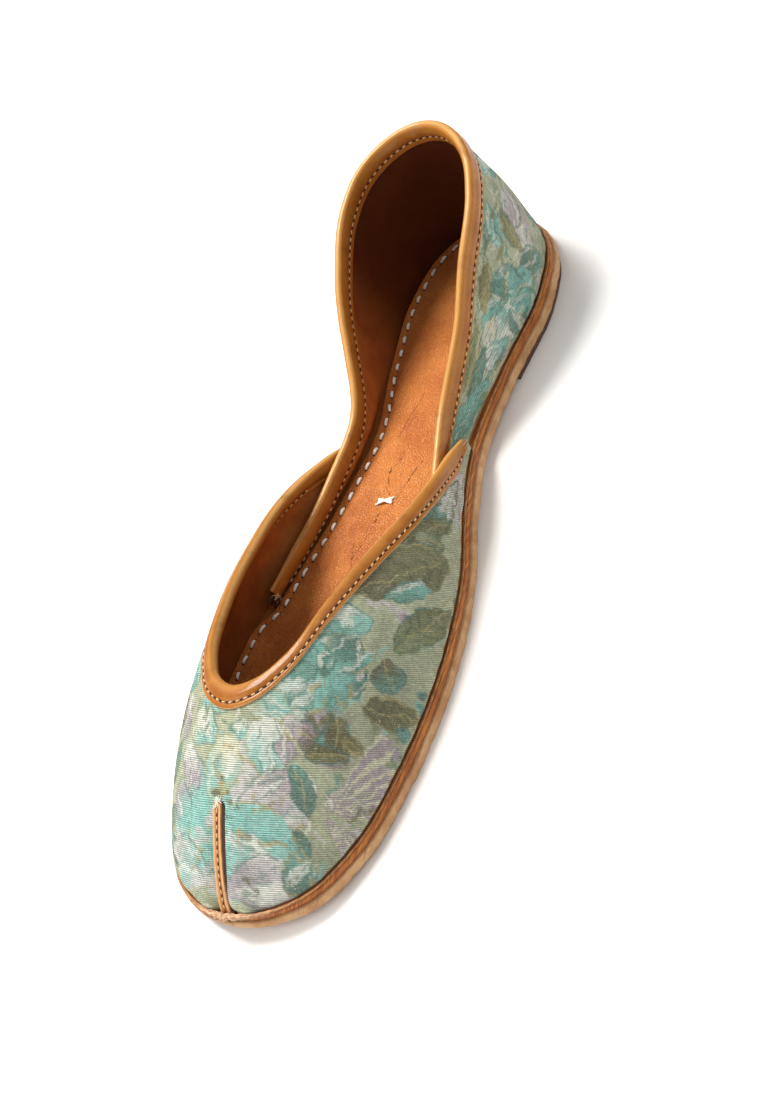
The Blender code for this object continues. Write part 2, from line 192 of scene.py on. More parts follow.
def rise(y):
    """Underside of the sole: toe spring squared, flat ball, waist arch, step up at the heel."""
    waist = np.clip((y / LENGTH + 0.5 - BALL_FLAT[1]) / (HEEL_START - BALL_FLAT[1]), 0, 1)
    return (TOE_SPRING * toe_share(y) ** 2 + ease(waist) * (LIFT_THICKNESS + GAP)
            + WAIST_RISE * np.sin(np.pi * waist) ** 2)


class Signal:
    """A shader socket in an expression: its operators add Math nodes."""

    def __init__(self, finish, socket):
        self.finish = finish
        self.socket = socket

    def _math(self, operation, *values):
        return self.finish.node("Math", {"operation": operation}, dict(enumerate(values)))

    def __add__(self, other):
        return self._math("ADD", self, other)

    def __sub__(self, other):
        return self._math("SUBTRACT", self, other)

    def __rsub__(self, other):
        return self._math("SUBTRACT", other, self)

    def __mul__(self, other):
        return self._math("MULTIPLY", self, other)

    __radd__ = __add__
    __rmul__ = __mul__

    def wave(self):
        """Sine."""
        return self._math("SINE", self)

    def step(self, low, high):
        """Smooth step from 0 at low to 1 at high."""
        settings = {"interpolation_type": "SMOOTHSTEP"}
        return self.finish.node("MapRange", settings, {"Value": self, "From Min": low, "From Max": high})


class Finish:
    """One Principled material, with a call for its nodes."""

    def __init__(self, name, **constants):
        self.material = bpy.data.materials.new(name)
        self.material.use_nodes = True
        self.tree = self.material.node_tree
        self.shader = self.tree.nodes["Principled BSDF"]
        for socket, value in constants.items():
            self.shader.inputs[socket.replace("_", " ")].default_value = value

    def node(self, kind, settings=None, sockets=None, out=0):
        """Any node: its type, the settings made first, then the values or links of its sockets."""
        made = self.tree.nodes.new("ShaderNode" + kind)
        for key, value in (settings or {}).items():
            setattr(made, key, value)
        for key, value in (sockets or {}).items():
            if isinstance(value, Signal):
                self.tree.links.new(value.socket, made.inputs[key])
            else:
                made.inputs[key].default_value = value
        return Signal(self, made.outputs[out])

    def place(self):
        """Place on the piece, in metres."""
        return self.node("TexCoord", out="Object")

    def lay(self):
        """Place along and round the piece, in metres, from its mesh."""
        return self.node("Attribute", {"attribute_name": "lay"}, out="Vector")

    def tint(self):
        """Colour that is painted on the mesh."""
        return self.node("Attribute", {"attribute_name": "tint"}, out="Color")

    def parts(self, vector):
        """The three numbers of a vector."""
        split = self.tree.nodes.new("ShaderNodeSeparateXYZ")
        self.tree.links.new(vector.socket, split.inputs[0])
        return [Signal(self, socket) for socket in split.outputs]

    def noise(self, scale, detail, rough, vector=None):
        """Noise from 0 to 1; scale is in waves per metre."""
        vector = vector or self.place()
        return self.node("TexNoise", None, {"Vector": vector, "Scale": scale, "Detail": detail,
                                            "Roughness": rough})

    def streaks(self, vector, waves, detail, rough):
        """Noise from 0 to 1 with its own number of waves per metre along each axis."""
        longer = self.node("VectorMath", {"operation": "MULTIPLY"}, {0: vector, 1: waves})
        return self.noise(1.0, detail, rough, longer)

    def feed(self, socket, value):
        """Link to one of the shader's own sockets."""
        self.tree.links.new(value.socket, self.shader.inputs[socket])

    def colour(self, base, *washes):
        """Base colour: a first one, and others mixed over it, each by its share."""
        for share, tone in washes:
            base = base if isinstance(base, Signal) else (*base, 1.0)
            base = self.node("Mix", {"data_type": "RGBA"}, {0: share, 6: base, 7: (*tone, 1.0)}, out=2)
        self.feed("Base Color", base)

    def relief(self, height, depth):
        """Bump of a height from 0 to 1 times a depth in metres."""
        bump = {"Height": height, "Distance": depth, "Strength": 1.0}
        self.feed("Normal", self.node("Bump", None, bump))


SHARP_ANGLE = 0.7          # radians between two faces, past which their edge shows


def ring_quads(rows, columns):
    """Quads that join each point of a grid to its neighbours, closed round the columns."""
    number = np.arange(rows * columns).reshape(rows, columns)
    after = np.roll(number, -1, axis=1)
    return np.stack([number[:-1], after[:-1], after[1:], number[1:]], axis=-1).reshape(-1, 4)


def laid(name, mesh, finish):
    """Piece of the shoe from its mesh."""
    mesh.shade_smooth()
    mesh.materials.append(finish.material)
    made = bpy.data.objects.new(name, mesh)
    bpy.context.collection.objects.link(made)
    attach(made, "root")
    return made


def skin(name, grid, finish, caps=False, merge=False, tint=None, lay=None):
    """Closed mesh of a grid of points, rows along the piece and columns round it.

    Quads join each point to its neighbours; caps close both ends, merge closes them where
    all the points of an end meet. Faces are turned outwards by the sign of the volume.
    """
    rows, columns = grid.shape[:2]
    quads = ring_quads(rows, columns)
    points = grid.reshape(-1, 3)
    a, b, c, d = (points[quads[:, corner]] for corner in range(4))
    volume = (np.cross(a - points[0], b - points[0]) * (c - points[0])).sum()
    volume += (np.cross(a - points[0], c - points[0]) * (d - points[0])).sum()
    around = np.arange(columns)
    ends = [around[::-1], around + (rows - 1) * columns] if caps else []
    faces = [face[::-1] if volume < 0 else face for face in [*quads, *ends]]
    mesh = bpy.data.meshes.new(name)
    mesh.from_pydata(points.tolist(), [], [face.tolist() for face in faces])
    if lay is None:
        lay = np.stack([lengths(grid, 0), lengths(grid, 1), 0 * grid[..., 0]], axis=2)
    run = mesh.attributes.new("lay", "FLOAT_VECTOR", "POINT")
    run.data.foreach_set("vector", lay.astype(np.float32).ravel())
    if tint is not None:
        paint = mesh.color_attributes.new("tint", "FLOAT_COLOR", "POINT")
        full = np.concatenate([tint, np.ones((*tint.shape[:2], 1))], axis=2)
        paint.data.foreach_set("color", full.astype(np.float32).ravel())
    if merge:
        tool = bmesh.new()
        tool.from_mesh(mesh)
        bmesh.ops.remove_doubles(tool, verts=tool.verts, dist=1e-6)
        bmesh.ops.dissolve_degenerate(tool, edges=tool.edges, dist=1e-7)
        tool.to_mesh(mesh)
        tool.free()
    made = laid(name, mesh, finish)
    mesh.set_sharp_from_angle(angle=SHARP_ANGLE)
    return made


def wobble(run, size, seed):
    """Hand-cut unevenness along an edge: a sum of sines of the running length."""
    waves = np.random.default_rng(seed)
    total = 0 * run
    for length in (0.041, 0.023, 0.0127, 0.0071, 0.0043):
        total += waves.uniform(0.5, 1) * np.sin(2 * np.pi * (run / length + waves.uniform()))
    return size * total / 3


TIP_CROWD = 0.045          # how far the rings crowd at the tips
TOE_TIP, HEEL_TIP = 0.010, 0.005    # over which the uneven edge fades out
EDGE_STEPS = 5


def leather_layer(name, setback, level, profile, finish, columns=9, start=0.0, stations=420,
                  uneven=0.0, seed=1, relief=None):
    """A layer of the sole as rings that cross the shoe.

    Each ring runs over the top from left to right, down the right edge through the profile's
    (further inset, height) rows, back under the shoe and up the left edge. Rings crowd at the
    tips by turn - s sin(2 pi turn), and the edge's unevenness fades out at both.
    """
    first = share_at(start) if start else 0.0
    turn = np.linspace(0, 1, stations)
    shares = first + (1 - first) * (turn if start else turn - TIP_CROWD * np.sin(2 * np.pi * turn))
    run = shares * np.linalg.norm(np.diff(SIDE, axis=0), axis=1).sum()
    edges = []
    for side in (1, -1):
        shift = wobble(run, uneven, seed + side) * ease(run / TOE_TIP)
        rows = []
        for inset, height in profile:
            line = on_line(inset_line(setback + inset), shares)
            heel_in = 1 - ease((line[:, 0] - (LENGTH / 2 - HEEL_TIP)) / HEEL_TIP)
            x = np.maximum(line[:, 1] + shift * heel_in, 0) * (line[:, 1] > 1e-9)
            rows.append(np.stack([side * x, line[:, 0], level(line[:, 0]) + height], axis=1))
        edges.append(np.stack(rows, axis=1))
    right_edge, left_edge = edges
    across = np.linspace(0, 1, columns)[None, 1:-1, None]
    top = left_edge[:, :1] * (1 - across) + right_edge[:, :1] * across
    if relief is not None:
        top[..., 2] += relief(top[..., 0], top[..., 1])
    across = np.array([0.25, 0.5, 0.75])[None, :, None]
    under = right_edge[:, -1:] * (1 - across) + left_edge[:, -1:] * across
    grid = np.concatenate([top, right_edge, under, left_edge[:, ::-1]], axis=1)
    return skin(name, grid, finish, caps=bool(start), merge=not start)


def edge_profile(thickness, rounding, bulge=0.0):
    """(inset, height) rows of a layer's edge from its top to its underside, corners rounded."""
    arc = np.linspace(0, np.pi / 2, EDGE_STEPS)
    upper = [(rounding * (1 - np.sin(a)), thickness - rounding * (1 - np.cos(a))) for a in arc]
    lower = [(inset, thickness - height) for inset, height in upper[::-1]]
    middle = [(-bulge, thickness / 2)]
    return upper + middle + lower


tan_edge = Finish("rough_tan_leather", Roughness=0.72)
fibre = tan_edge.streaks(tan_edge.lay(), (160.0, 2600.0, 1.0), 4.0, 0.6)
blotch = tan_edge.noise(130.0, 3.0, 0.6)
grit = tan_edge.noise(2600.0, 2.0, 0.6)
tan_edge.colour((0.50, 0.25, 0.105),
                (blotch.step(0.35, 0.65), (0.66, 0.39, 0.19)),
                (fibre.step(0.42, 0.30) * 0.75, (0.26, 0.10, 0.035)),
                (fibre.step(0.62, 0.74) * 0.5, (0.78, 0.55, 0.33)))
tan_edge.relief(fibre * 0.8 + grit * 0.3, 0.0006)

outsole = leather_layer("outsole_leather", 0.0, rise, edge_profile(OUTSOLE_THICKNESS, 0.0006, 0.0002),
                        tan_edge, columns=13, uneven=0.00022, seed=3)
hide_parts("outsole")


# HEEL LIFT. A thin scrap of dark leather, pegged under the heel so that the heel stands
# level with the ball. Its edge is cut by hand, a little inside the outsole's.
LIFT_SETBACK = 0.0010
LIFT_START = 0.75

dark_lift = Finish("dark_lift_leather", Roughness=0.75)
speck = dark_lift.noise(900.0, 4.0, 0.6)
dark_lift.colour((0.05, 0.02, 0.012), (speck, (0.16, 0.075, 0.04)))
dark_lift.relief(speck, 0.0003)

lift = leather_layer("lift_leather", LIFT_SETBACK, lambda y: 0.0 * y,
                     edge_profile(LIFT_THICKNESS, 0.0004), dark_lift, start=LIFT_START,
                     stations=180, uneven=0.0001, seed=9)
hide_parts("heel_lift")


# WELT. A softer layer, stained brown, set back a little from the outsole. The stain is worn
# along its upper edge, and a pale line of raw lining shows above it.
WELT_THICKNESS = 0.0020
WELT_SETBACK = 0.0008
WELT_LEVEL = OUTSOLE_THICKNESS + GAP
FOOT_LEVEL = WELT_LEVEL + WELT_THICKNESS + GAP

stained = Finish("stained_welt_leather", Roughness=0.5, Specular_IOR_Level=0.3)
stain = stained.streaks(stained.lay(), (90.0, 900.0, 1.0), 4.0, 0.6)
pore = stained.noise(1500.0, 3.0, 0.6)
stained.colour((0.24, 0.060, 0.008),
               (stain.step(0.35, 0.7), (0.50, 0.175, 0.028)),
               (pore.step(0.6, 0.75) * 0.35, (0.50, 0.24, 0.09)))
stained.relief(stain * 0.7 + pore * 0.4, 0.0004)

welt = leather_layer("welt_leather", WELT_SETBACK, lambda y: rise(y) + WELT_LEVEL - 0.0001,
                     edge_profile(WELT_THICKNESS + 0.0002, 0.0005, 0.0001), stained,
                     uneven=0.00015, seed=5)
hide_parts("welt")


# UPPER. The vamp and the quarter: ribbed cotton with a flower print, glued to brown leather,
# pulled over a last and caught together in the sole seam. The quarter's wings run inside the
# vamp's. Each wall is a set of ribs from the foot line up to the top edge.
THROAT_HEIGHT = 0.041
BACK_HEIGHT = 0.058
UPPER_SETBACK = 0.0016
WALL_THICKNESS = 0.0018
BINDING_THICKNESS = 0.0007
SEAM_PINCH = 0.0009
SEAM_REACH = 0.011
HEEL_SWELL = 0.0015
JOIN_HEIGHT = 0.0054
JOIN_BITE = 0.0007
BARE_LINING = 0.0036
LAP_ROOM = 0.0006
TOE_FULLNESS, SIDE_FULLNESS, FULLNESS_REACH = 1.28, 1.90, 0.75
TOE_SWEEP, SIDE_SWEEP, SWEEP_REACH = 86, 60, 0.80
HEEL_REACH = 0.55
LAP_FADE = (0.14, 0.05)
THROAT = (
    # along, out (share of the foot's half width), up (share of the throat's rise)
    (0.215, 0.00, 1.00), (0.226, 0.20, 1.00), (0.258, 0.36, 0.98), (0.330, 0.50, 0.93),
    (0.420, 0.67, 0.78), (0.490, 0.86, 0.60), (0.545, 0.98, 0.42), (0.585, 1.00, 0.27),
    (0.622, 1.00, 0.13),
)
COLLAR = (
    (0.975, 0.00, 1.00), (0.970, 0.46, 0.998), (0.953, 0.75, 0.985), (0.915, 0.92, 0.945),
    (0.870, 0.98, 0.875), (0.790, 1.00, 0.70), (0.710, 1.00, 0.43), (0.640, 1.00, 0.235),
    (0.560, 0.99, 0.165), (0.410, 0.94, 0.150),
)
LAP_DEPTH = WALL_THICKNESS + 2 * (GAP + BINDING_THICKNESS) + GAP + LAP_ROOM
THROAT_RISE = THROAT_HEIGHT - FOOT_LEVEL
BACK_RISE = BACK_HEIGHT - FOOT_LEVEL - LIFT_THICKNESS - GAP
VAMP_REACH, QUARTER_REACH = THROAT[-1][0], COLLAR[-1][0]
VAMP_SHARE, QUARTER_SHARE = share_at(VAMP_REACH), share_at(QUARTER_REACH)
FOOT_LINE = inset_line(UPPER_SETBACK)
FOOT_LENGTH = np.linalg.norm(np.diff(FOOT_LINE, axis=0), axis=1).sum()


def lap(y):
    """1 where the quarter's wing passes inside the vamp, 0 away from it."""
    share = y / LENGTH + 0.5
    behind = ease((VAMP_REACH + LAP_FADE[0] - share) / LAP_FADE[0])
    before = ease((share - QUARTER_REACH + LAP_FADE[1]) / LAP_FADE[1])
    return behind * before


def lapped(y):
    """lap() held at 1 up to the wing's tip."""
    return lap(np.maximum(y, QUARTER_REACH * LENGTH - LENGTH / 2))


def edge_line(table, height):
    """A top edge: along, out and up of each row as y, x and height above the foot line."""
    rows = [(a * LENGTH - LENGTH / 2,
             out * np.interp(a * LENGTH - LENGTH / 2, FOOT_LINE[:, 0], FOOT_LINE[:, 1]),
             lift_up * height) for a, out, lift_up in table]
    return flowing(rows, True, False)


def pair(field, place):
    """Values of a field at a place along its columns and at the next one."""
    return (np.take_along_axis(field, place + step, 1) for step in (0, 1))


class Wall:
    """Ribs from a foot line to a top edge, as a grid of stations by shares of the climb.

    point = foot + (top - foot) * (across, across, up), plus a swell square to the foot line.
    """

    def __init__(self, foot, top, arch, turn, stations=641, shares=160):
        self.station = np.linspace(-1, 1, stations)
        share = np.abs(self.station)
        low, high = foot(share), top(share)
        ahead = on_line(unit(np.gradient(foot(np.linspace(0, 1, 800))[:, :2], axis=0)), share)
        outward = turn * np.stack([ahead[:, 1], -ahead[:, 0]], axis=1)
        climb = np.linspace(0, 1, shares)[None]
        across, lift_up, swell = arch(share[:, None], climb, low, high)
        point = low[:, None] + (high - low)[:, None] * np.stack([across, across, lift_up], axis=2)
        point[..., :2] += swell[..., None] * outward[:, None]
        point[..., 0] *= np.where(self.station < 0, -1.0, 1.0)[:, None]
        self.point = point
        self.normal = unit(turn * np.cross(np.gradient(point, axis=0), np.gradient(point, axis=1)))
        self.climbed = lengths(point, 1)
        self.tall = self.climbed[:, -1]

    def room(self, bare):
        """Distance down from the top edge to a height above the foot, for each rib."""
        height = self.point[..., 2] - self.point[:, :1, 2]
        place = np.clip((height <= bare).sum(axis=1) - 1, 0, height.shape[1] - 2)[:, None]
        low, high = pair(height, place)
        part = (bare - low) / (high - low)
        foot, head = pair(self.climbed, place)
        return np.clip(self.tall - (foot + part * (head - foot))[:, 0], 0, None)

    def at(self, down, out):
        """Points at distances down from the top edge and out from the face, for each rib."""
        down = np.broadcast_to(down, (len(self.station), np.shape(down)[-1]))
        target = self.tall[:, None] - down
        place = (self.climbed[:, :, None] <= target[:, None, :]).sum(axis=1) - 1
        place = np.clip(place, 0, self.climbed.shape[1] - 2)
        foot, head = pair(self.climbed, place)
        part = ((target - foot) / np.maximum(head - foot, 1e-9))[..., None]
        mixed = []
        for field in (self.point, self.normal):
            low, high = pair(field, place[..., None])
            mixed.append(low * (1 - part) + high * part)
        normal = unit(mixed[1])
        return mixed[0] + normal * np.broadcast_to(out, down.shape)[..., None], normal


def vamp_foot(share):
    """Foot line, pulled in at the toe's seam by a bell of SEAM_PINCH."""
    y, x = on_line(FOOT_LINE, share * VAMP_SHARE).T
    pinch = SEAM_PINCH * bell(share * VAMP_SHARE * FOOT_LENGTH, 0, SEAM_REACH / 2)
    return np.stack([x, y + pinch, rise(y) + FOOT_LEVEL], axis=1)


def vamp_top(share):
    """The throat's edge, as high above the sprung sole as it is above a flat one."""
    y, x, lift_up = on_line(edge_line(THROAT, THROAT_RISE), share).T
    return np.stack([x, y, rise(y) + FOOT_LEVEL + lift_up], axis=1)


def vamp_arch(share, climb, low, high):
    """|1 - across|^power + up^power = 1, kept up to a sweep below its crown."""
    power = TOE_FULLNESS + (SIDE_FULLNESS - TOE_FULLNESS) * ease(share / FULLNESS_REACH)
    sweep = np.radians(TOE_SWEEP + (SIDE_SWEEP - TOE_SWEEP) * ease(share / SWEEP_REACH))
    angle = sweep * climb
    across = (1 - np.cos(angle) ** (2 / power)) / (1 - np.cos(sweep) ** (2 / power))
    return across, (np.sin(angle) / np.sin(sweep)) ** (2 / power), 0 * angle


def quarter_foot(share):
    """Foot line from the heel's back, moved in where the wing runs inside the vamp."""
    y, x = on_line(FOOT_LINE, 1 - share * (1 - QUARTER_SHARE)).T
    inward = lapped(y) * (WALL_THICKNESS - JOIN_BITE)
    return np.stack([x - inward, y, rise(y) + FOOT_LEVEL + GAP / 2], axis=1)


def quarter_top(share):
    """The collar's edge, moved in with its foot."""
    y, x, lift_up = on_line(edge_line(COLLAR, BACK_RISE), share).T
    inward = lapped(y) * (WALL_THICKNESS - JOIN_BITE)
    return np.stack([x - inward, y, rise(y) + FOOT_LEVEL + lift_up], axis=1)


def quarter_arch(share, climb, low, high):
    """Swollen round the heel; at the lap the wall steps in above its foot."""
    swell = HEEL_SWELL * (1 - ease(share / HEEL_REACH)) * np.sin(np.pi * climb) ** 2
    step = lapped(low[:, 1])[:, None] * (LAP_DEPTH - WALL_THICKNESS + JOIN_BITE)
    swell = swell - step * ease(climb * (high - low)[:, 2:] / JOIN_HEIGHT)
    return ease(climb) + 0 * share, climb + 0 * share, swell


VAMP = Wall(vamp_foot, vamp_top, vamp_arch, 1, 741)
QUARTER = Wall(quarter_foot, quarter_top, quarter_arch, -1)
RIDGE = len(VAMP.station) // 2      # the vamp's rib up the middle of the toe

# The print, as a painter would lay it on: petals, leaves, fans of stripes, lines and spots,
# in millimetres across from the ridge and along from the toe's tip.
PAINT = {
    "sage": (0.420, 0.440, 0.300), "moss": (0.215, 0.265, 0.125), "olive": (0.175, 0.165, 0.065),
    "umber": (0.120, 0.090, 0.042), "teal": (0.120, 0.310, 0.270), "deep": (0.055, 0.150, 0.135),
    "turquoise": (0.230, 0.530, 0.490), "lilac": (0.400, 0.315, 0.375),
    "pale": (0.600, 0.560, 0.560), "cream": (0.680, 0.650, 0.480), "white": (0.760, 0.770, 0.700),
    "gold": (0.400, 0.330, 0.140),
}
VAMP_PRINT = (
    # shape, from (across, along), to (across, along), half width, bow, first and second colour
    ("spot", 5.0, 20.0, 5.1, 20.1, 20.0, 0.0, "turquoise", "pale"),
    ("spot", 8.0, 40.0, 8.1, 40.1, 13.0, 0.0, "pale", "turquoise"),
    ("spot", -12.0, 28.0, -12.1, 28.1, 12.0, 0.0, "turquoise", "pale"),
    ("spot", 25.0, 71.0, 25.1, 71.1, 12.0, 0.0, "teal", "turquoise"),
    ("petal", 10.0, 56.0, 24.0, 62.0, 4.6, 0.5, "turquoise", "teal"),
    ("petal", -12.0, 57.0, 3.0, 60.0, 3.4, 0.4, "turquoise", "sage"),
    ("petal", 2.0, 61.0, 17.0, 66.0, 3.0, -0.4, "turquoise", "cream"),
    ("spot", 15.0, 59.0, 15.1, 59.1, 4.0, 0.0, "lilac", "cream"),
    ("spot", 30.0, 55.0, 30.1, 55.1, 9.0, 0.0, "umber", "lilac"),
    ("spot", 39.8, 142.0, 39.9, 142.1, 6.0, 0.0, "white", "pale"),
    ("fan", 26.0, 6.0, 44.0, 30.0, 5.0, 0.0, "sage", "lilac"),
    ("spot", 38.5, 149.2, 38.7, 149.6, 3.0, 0.0, "pale", "lilac"),
    ("petal", 41.4, 141.5, 33.3, 128.2, 4.2, 0.6, "teal", "deep"),
    ("leaf", 41.3, 133.3, 30.5, 116.7, 3.4, 0.5, "olive", "umber"),
    ("leaf", 42.2, 124.2, 34.1, 119.1, 3.2, -0.4, "moss", "sage"),
    ("leaf", 44.5, 120.6, 24.3, 97.1, 7.8, 0.8, "olive", "umber"),
    ("petal", 33.0, 98.6, 42.4, 107.9, 2.4, 0.3, "teal", "turquoise"),
    ("petal", 32.2, 90.2, 19.2, 82.7, 5.2, -0.6, "turquoise", "teal"),
    ("line", 48.9, 125.3, 51.7, 109.7, 1.6, 0.4, "teal", "teal"),
    ("line", 29.0, 95.4, 41.4, 97.5, 1.1, 0.5, "pale", "pale"),
    ("spot", 38.6, 96.0, 38.7, 96.1, 2.2, 0.0, "lilac", "pale"),
    ("line", 50.5, 115.2, 41.3, 94.4, 0.3, 0.8, "gold", "gold"),
    ("leaf", 39.7, 85.1, 50.8, 106.6, 4.6, 0.6, "moss", "olive"),
    ("leaf", 44.1, 74.5, 38.0, 82.1, 4.9, 0.3, "teal", "umber"),
    ("leaf", 36.7, 67.1, 52.4, 72.6, 4.6, -0.6, "umber", "olive"),
    ("spot", 49.7, 66.5, 49.9, 66.8, 2.3, 0.0, "teal", "deep"),
    ("spot", 50.4, 79.1, 50.6, 79.3, 1.7, 0.0, "deep", "teal"),
    ("line", 42.5, 64.2, 49.6, 54.9, 1.0, -1.2, "moss", "gold"),
    ("spot", 50.7, 55.8, 50.8, 55.9, 2.6, 0.0, "moss", "teal"),
    ("spot", 49.2, 59.9, 49.4, 60.0, 2.4, 0.0, "lilac", "deep"),
    ("spot", 51.7, 75.4, 51.8, 75.5, 1.8, 0.0, "teal", "turquoise"),
    ("fan", 29.5, 34.2, 52.0, 54.0, 13.0, 0.0, "lilac", "cream"),
    ("fan", 31.1, 35.0, 41.9, 27.7, 6.0, 0.0, "lilac", "cream"),
    ("fan", 38.6, 150.1, 43.0, 133.0, 7.5, 0.0, "pale", "sage"),
    ("line", 38.6, 148.1, 41.0, 134.7, 0.35, 0.8, "umber", "umber"),
    ("line", 38.4, 147.0, 35.2, 126.9, 0.35, -0.6, "umber", "umber"),
    ("line", 39.4, 147.0, 43.5, 136.0, 0.4, 0.4, "lilac", "lilac"),
    ("line", 37.9, 36.2, 46.2, 43.4, 0.5, 0.4, "olive", "gold"),
    ("petal", 25.3, 71.2, 19.1, 77.3, 5.0, 0.3, "teal", "turquoise"),
    ("petal", 26.2, 72.5, 30.6, 83.0, 4.6, 0.4, "teal", "deep"),
    ("petal", 26.5, 72.0, 35.4, 74.7, 4.4, -0.4, "turquoise", "deep"),
    ("petal", 25.6, 70.7, 29.7, 64.6, 4.6, 0.3, "turquoise", "teal"),
    ("petal", 24.2, 70.4, 19.4, 60.7, 5.0, 0.3, "turquoise", "teal"),
    ("petal", 23.1, 71.0, 13.8, 66.4, 4.4, 0.2, "teal", "turquoise"),
    ("spot", 24.6, 72.6, 24.7, 72.7, 2.4, 0.0, "deep", "teal"),
    ("petal", 32.5, 75.1, 34.6, 82.5, 1.7, 0.2, "teal", "turquoise"),
    ("line", 32.7, 71.9, 31.0, 64.5, 0.5, 1.2, "gold", "gold"),
    ("line", 29.8, 66.3, 34.4, 65.1, 0.4, -1.0, "gold", "gold"),
    ("petal", 20.0, 58.3, 6.9, 59.5, 4.0, 0.4, "turquoise", "sage"),
    ("leaf", 31.5, 53.1, 19.5, 55.1, 4.2, 0.5, "umber", "lilac"),
    ("leaf", 33.3, 52.4, 31.0, 62.5, 3.8, -0.8, "umber", "olive"),
    ("leaf", 34.6, 56.3, 40.8, 55.3, 2.4, 0.6, "olive", "umber"),
    ("spot", 29.1, 53.7, 29.2, 53.7, 2.0, 0.0, "teal", "deep"),
    ("leaf", 24.8, 48.1, 37.7, 53.4, 2.6, 0.4, "olive", "umber"),
    ("petal", 19.6, 50.1, 20.6, 57.4, 2.6, 0.4, "lilac", "pale"),
    ("petal", -4.3, 47.0, -12.3, 54.8, 4.4, 0.3, "turquoise", "cream"),
    ("petal", 7.5, 48.7, 7.1, 53.6, 3.6, 0.3, "turquoise", "sage"),
    ("petal", 16.4, 39.1, 13.9, 54.1, 6.0, -0.6, "turquoise", "white"),
    ("petal", 21.0, 44.1, 18.7, 51.9, 2.4, 0.3, "lilac", "lilac"),
    ("petal", -2.1, 30.4, -17.0, 43.7, 4.2, 0.5, "turquoise", "lilac"),
    ("petal", -2.0, 30.5, 3.6, 47.8, 5.6, 0.9, "turquoise", "cream"),
    ("petal", 5.5, 28.4, 25.3, 35.6, 3.0, -0.5, "turquoise", "turquoise"),
    ("petal", 7.7, 31.2, 21.4, 41.5, 4.0, -0.7, "pale", "lilac"),
    ("petal", 12.3, 26.9, 27.0, 34.2, 3.4, 0.2, "lilac", "pale"),
    ("leaf", 27.3, 32.9, 22.5, 45.3, 3.6, -0.5, "deep", "teal"),
    ("leaf", 21.3, 26.9, 27.3, 21.3, 4.0, 0.6, "deep", "teal"),
    ("petal", -2.3, 22.3, 22.7, 21.0, 8.4, 0.4, "turquoise", "turquoise"),
    ("petal", -2.1, 17.3, 18.3, 12.0, 6.5, 0.2, "turquoise", "pale"),
    ("petal", 2.3, 5.6, 24.9, 14.4, 6.4, -0.6, "lilac", "pale"),
    ("petal", 21.3, 10.1, 27.2, 19.7, 3.4, 0.7, "deep", "teal"),
    ("line", 6.8, 23.0, 21.3, 23.0, 0.5, -1.0, "gold", "gold"),
    ("line", 20.9, 23.1, 26.4, 20.5, 0.5, -0.5, "gold", "gold"),
    ("line", 10.4, 27.6, 20.2, 33.8, 0.4, 0.4, "gold", "gold"),
    ("line", 14.2, 38.4, 1.1, 46.2, 0.4, -1.6, "gold", "gold"),
    ("line", 8.6, 10.1, 13.3, 6.9, 0.7, 0.2, "umber", "gold"),
    ("spot", 0.6, 34.6, 0.7, 34.7, 3.4, 0.0, "gold", "turquoise"),
    ("spot", -2.6, 33.0, -2.5, 33.1, 1.0, 0.0, "umber", "gold"),
    ("spot", 3.4, 33.2, 3.5, 33.3, 1.0, 0.0, "umber", "gold"),
    ("spot", 1.4, 36.8, 1.5, 36.9, 1.0, 0.0, "umber", "gold"),
    ("line", -0.5, 36.0, -3.6, 41.0, 0.35, 0.3, "gold", "gold"),
    ("line", 2.5, 35.0, 7.2, 37.4, 0.35, 0.3, "gold", "gold"),
    ("line", 3.0, 31.5, 8.4, 29.4, 0.35, 0.3, "umber", "umber"),
    ("petal", -8.0, 34.0, -16.5, 46.5, 3.0, 0.4, "lilac", "white"),
    ("petal", -3.1, 11.1, -22.7, 19.7, 4.0, 0.4, "turquoise", "pale"),
    ("petal", -3.8, 7.4, -20.0, 12.0, 3.4, 0.4, "pale", "turquoise"),
    ("petal", -11.8, 24.9, -20.8, 35.0, 4.0, 0.4, "turquoise", "lilac"),
    ("petal", -12.5, 34.4, -13.1, 42.5, 3.0, 0.4, "lilac", "pale"),
    ("line", -4.7, 16.8, -12.7, 11.2, 0.4, 0.8, "gold", "gold"),
)
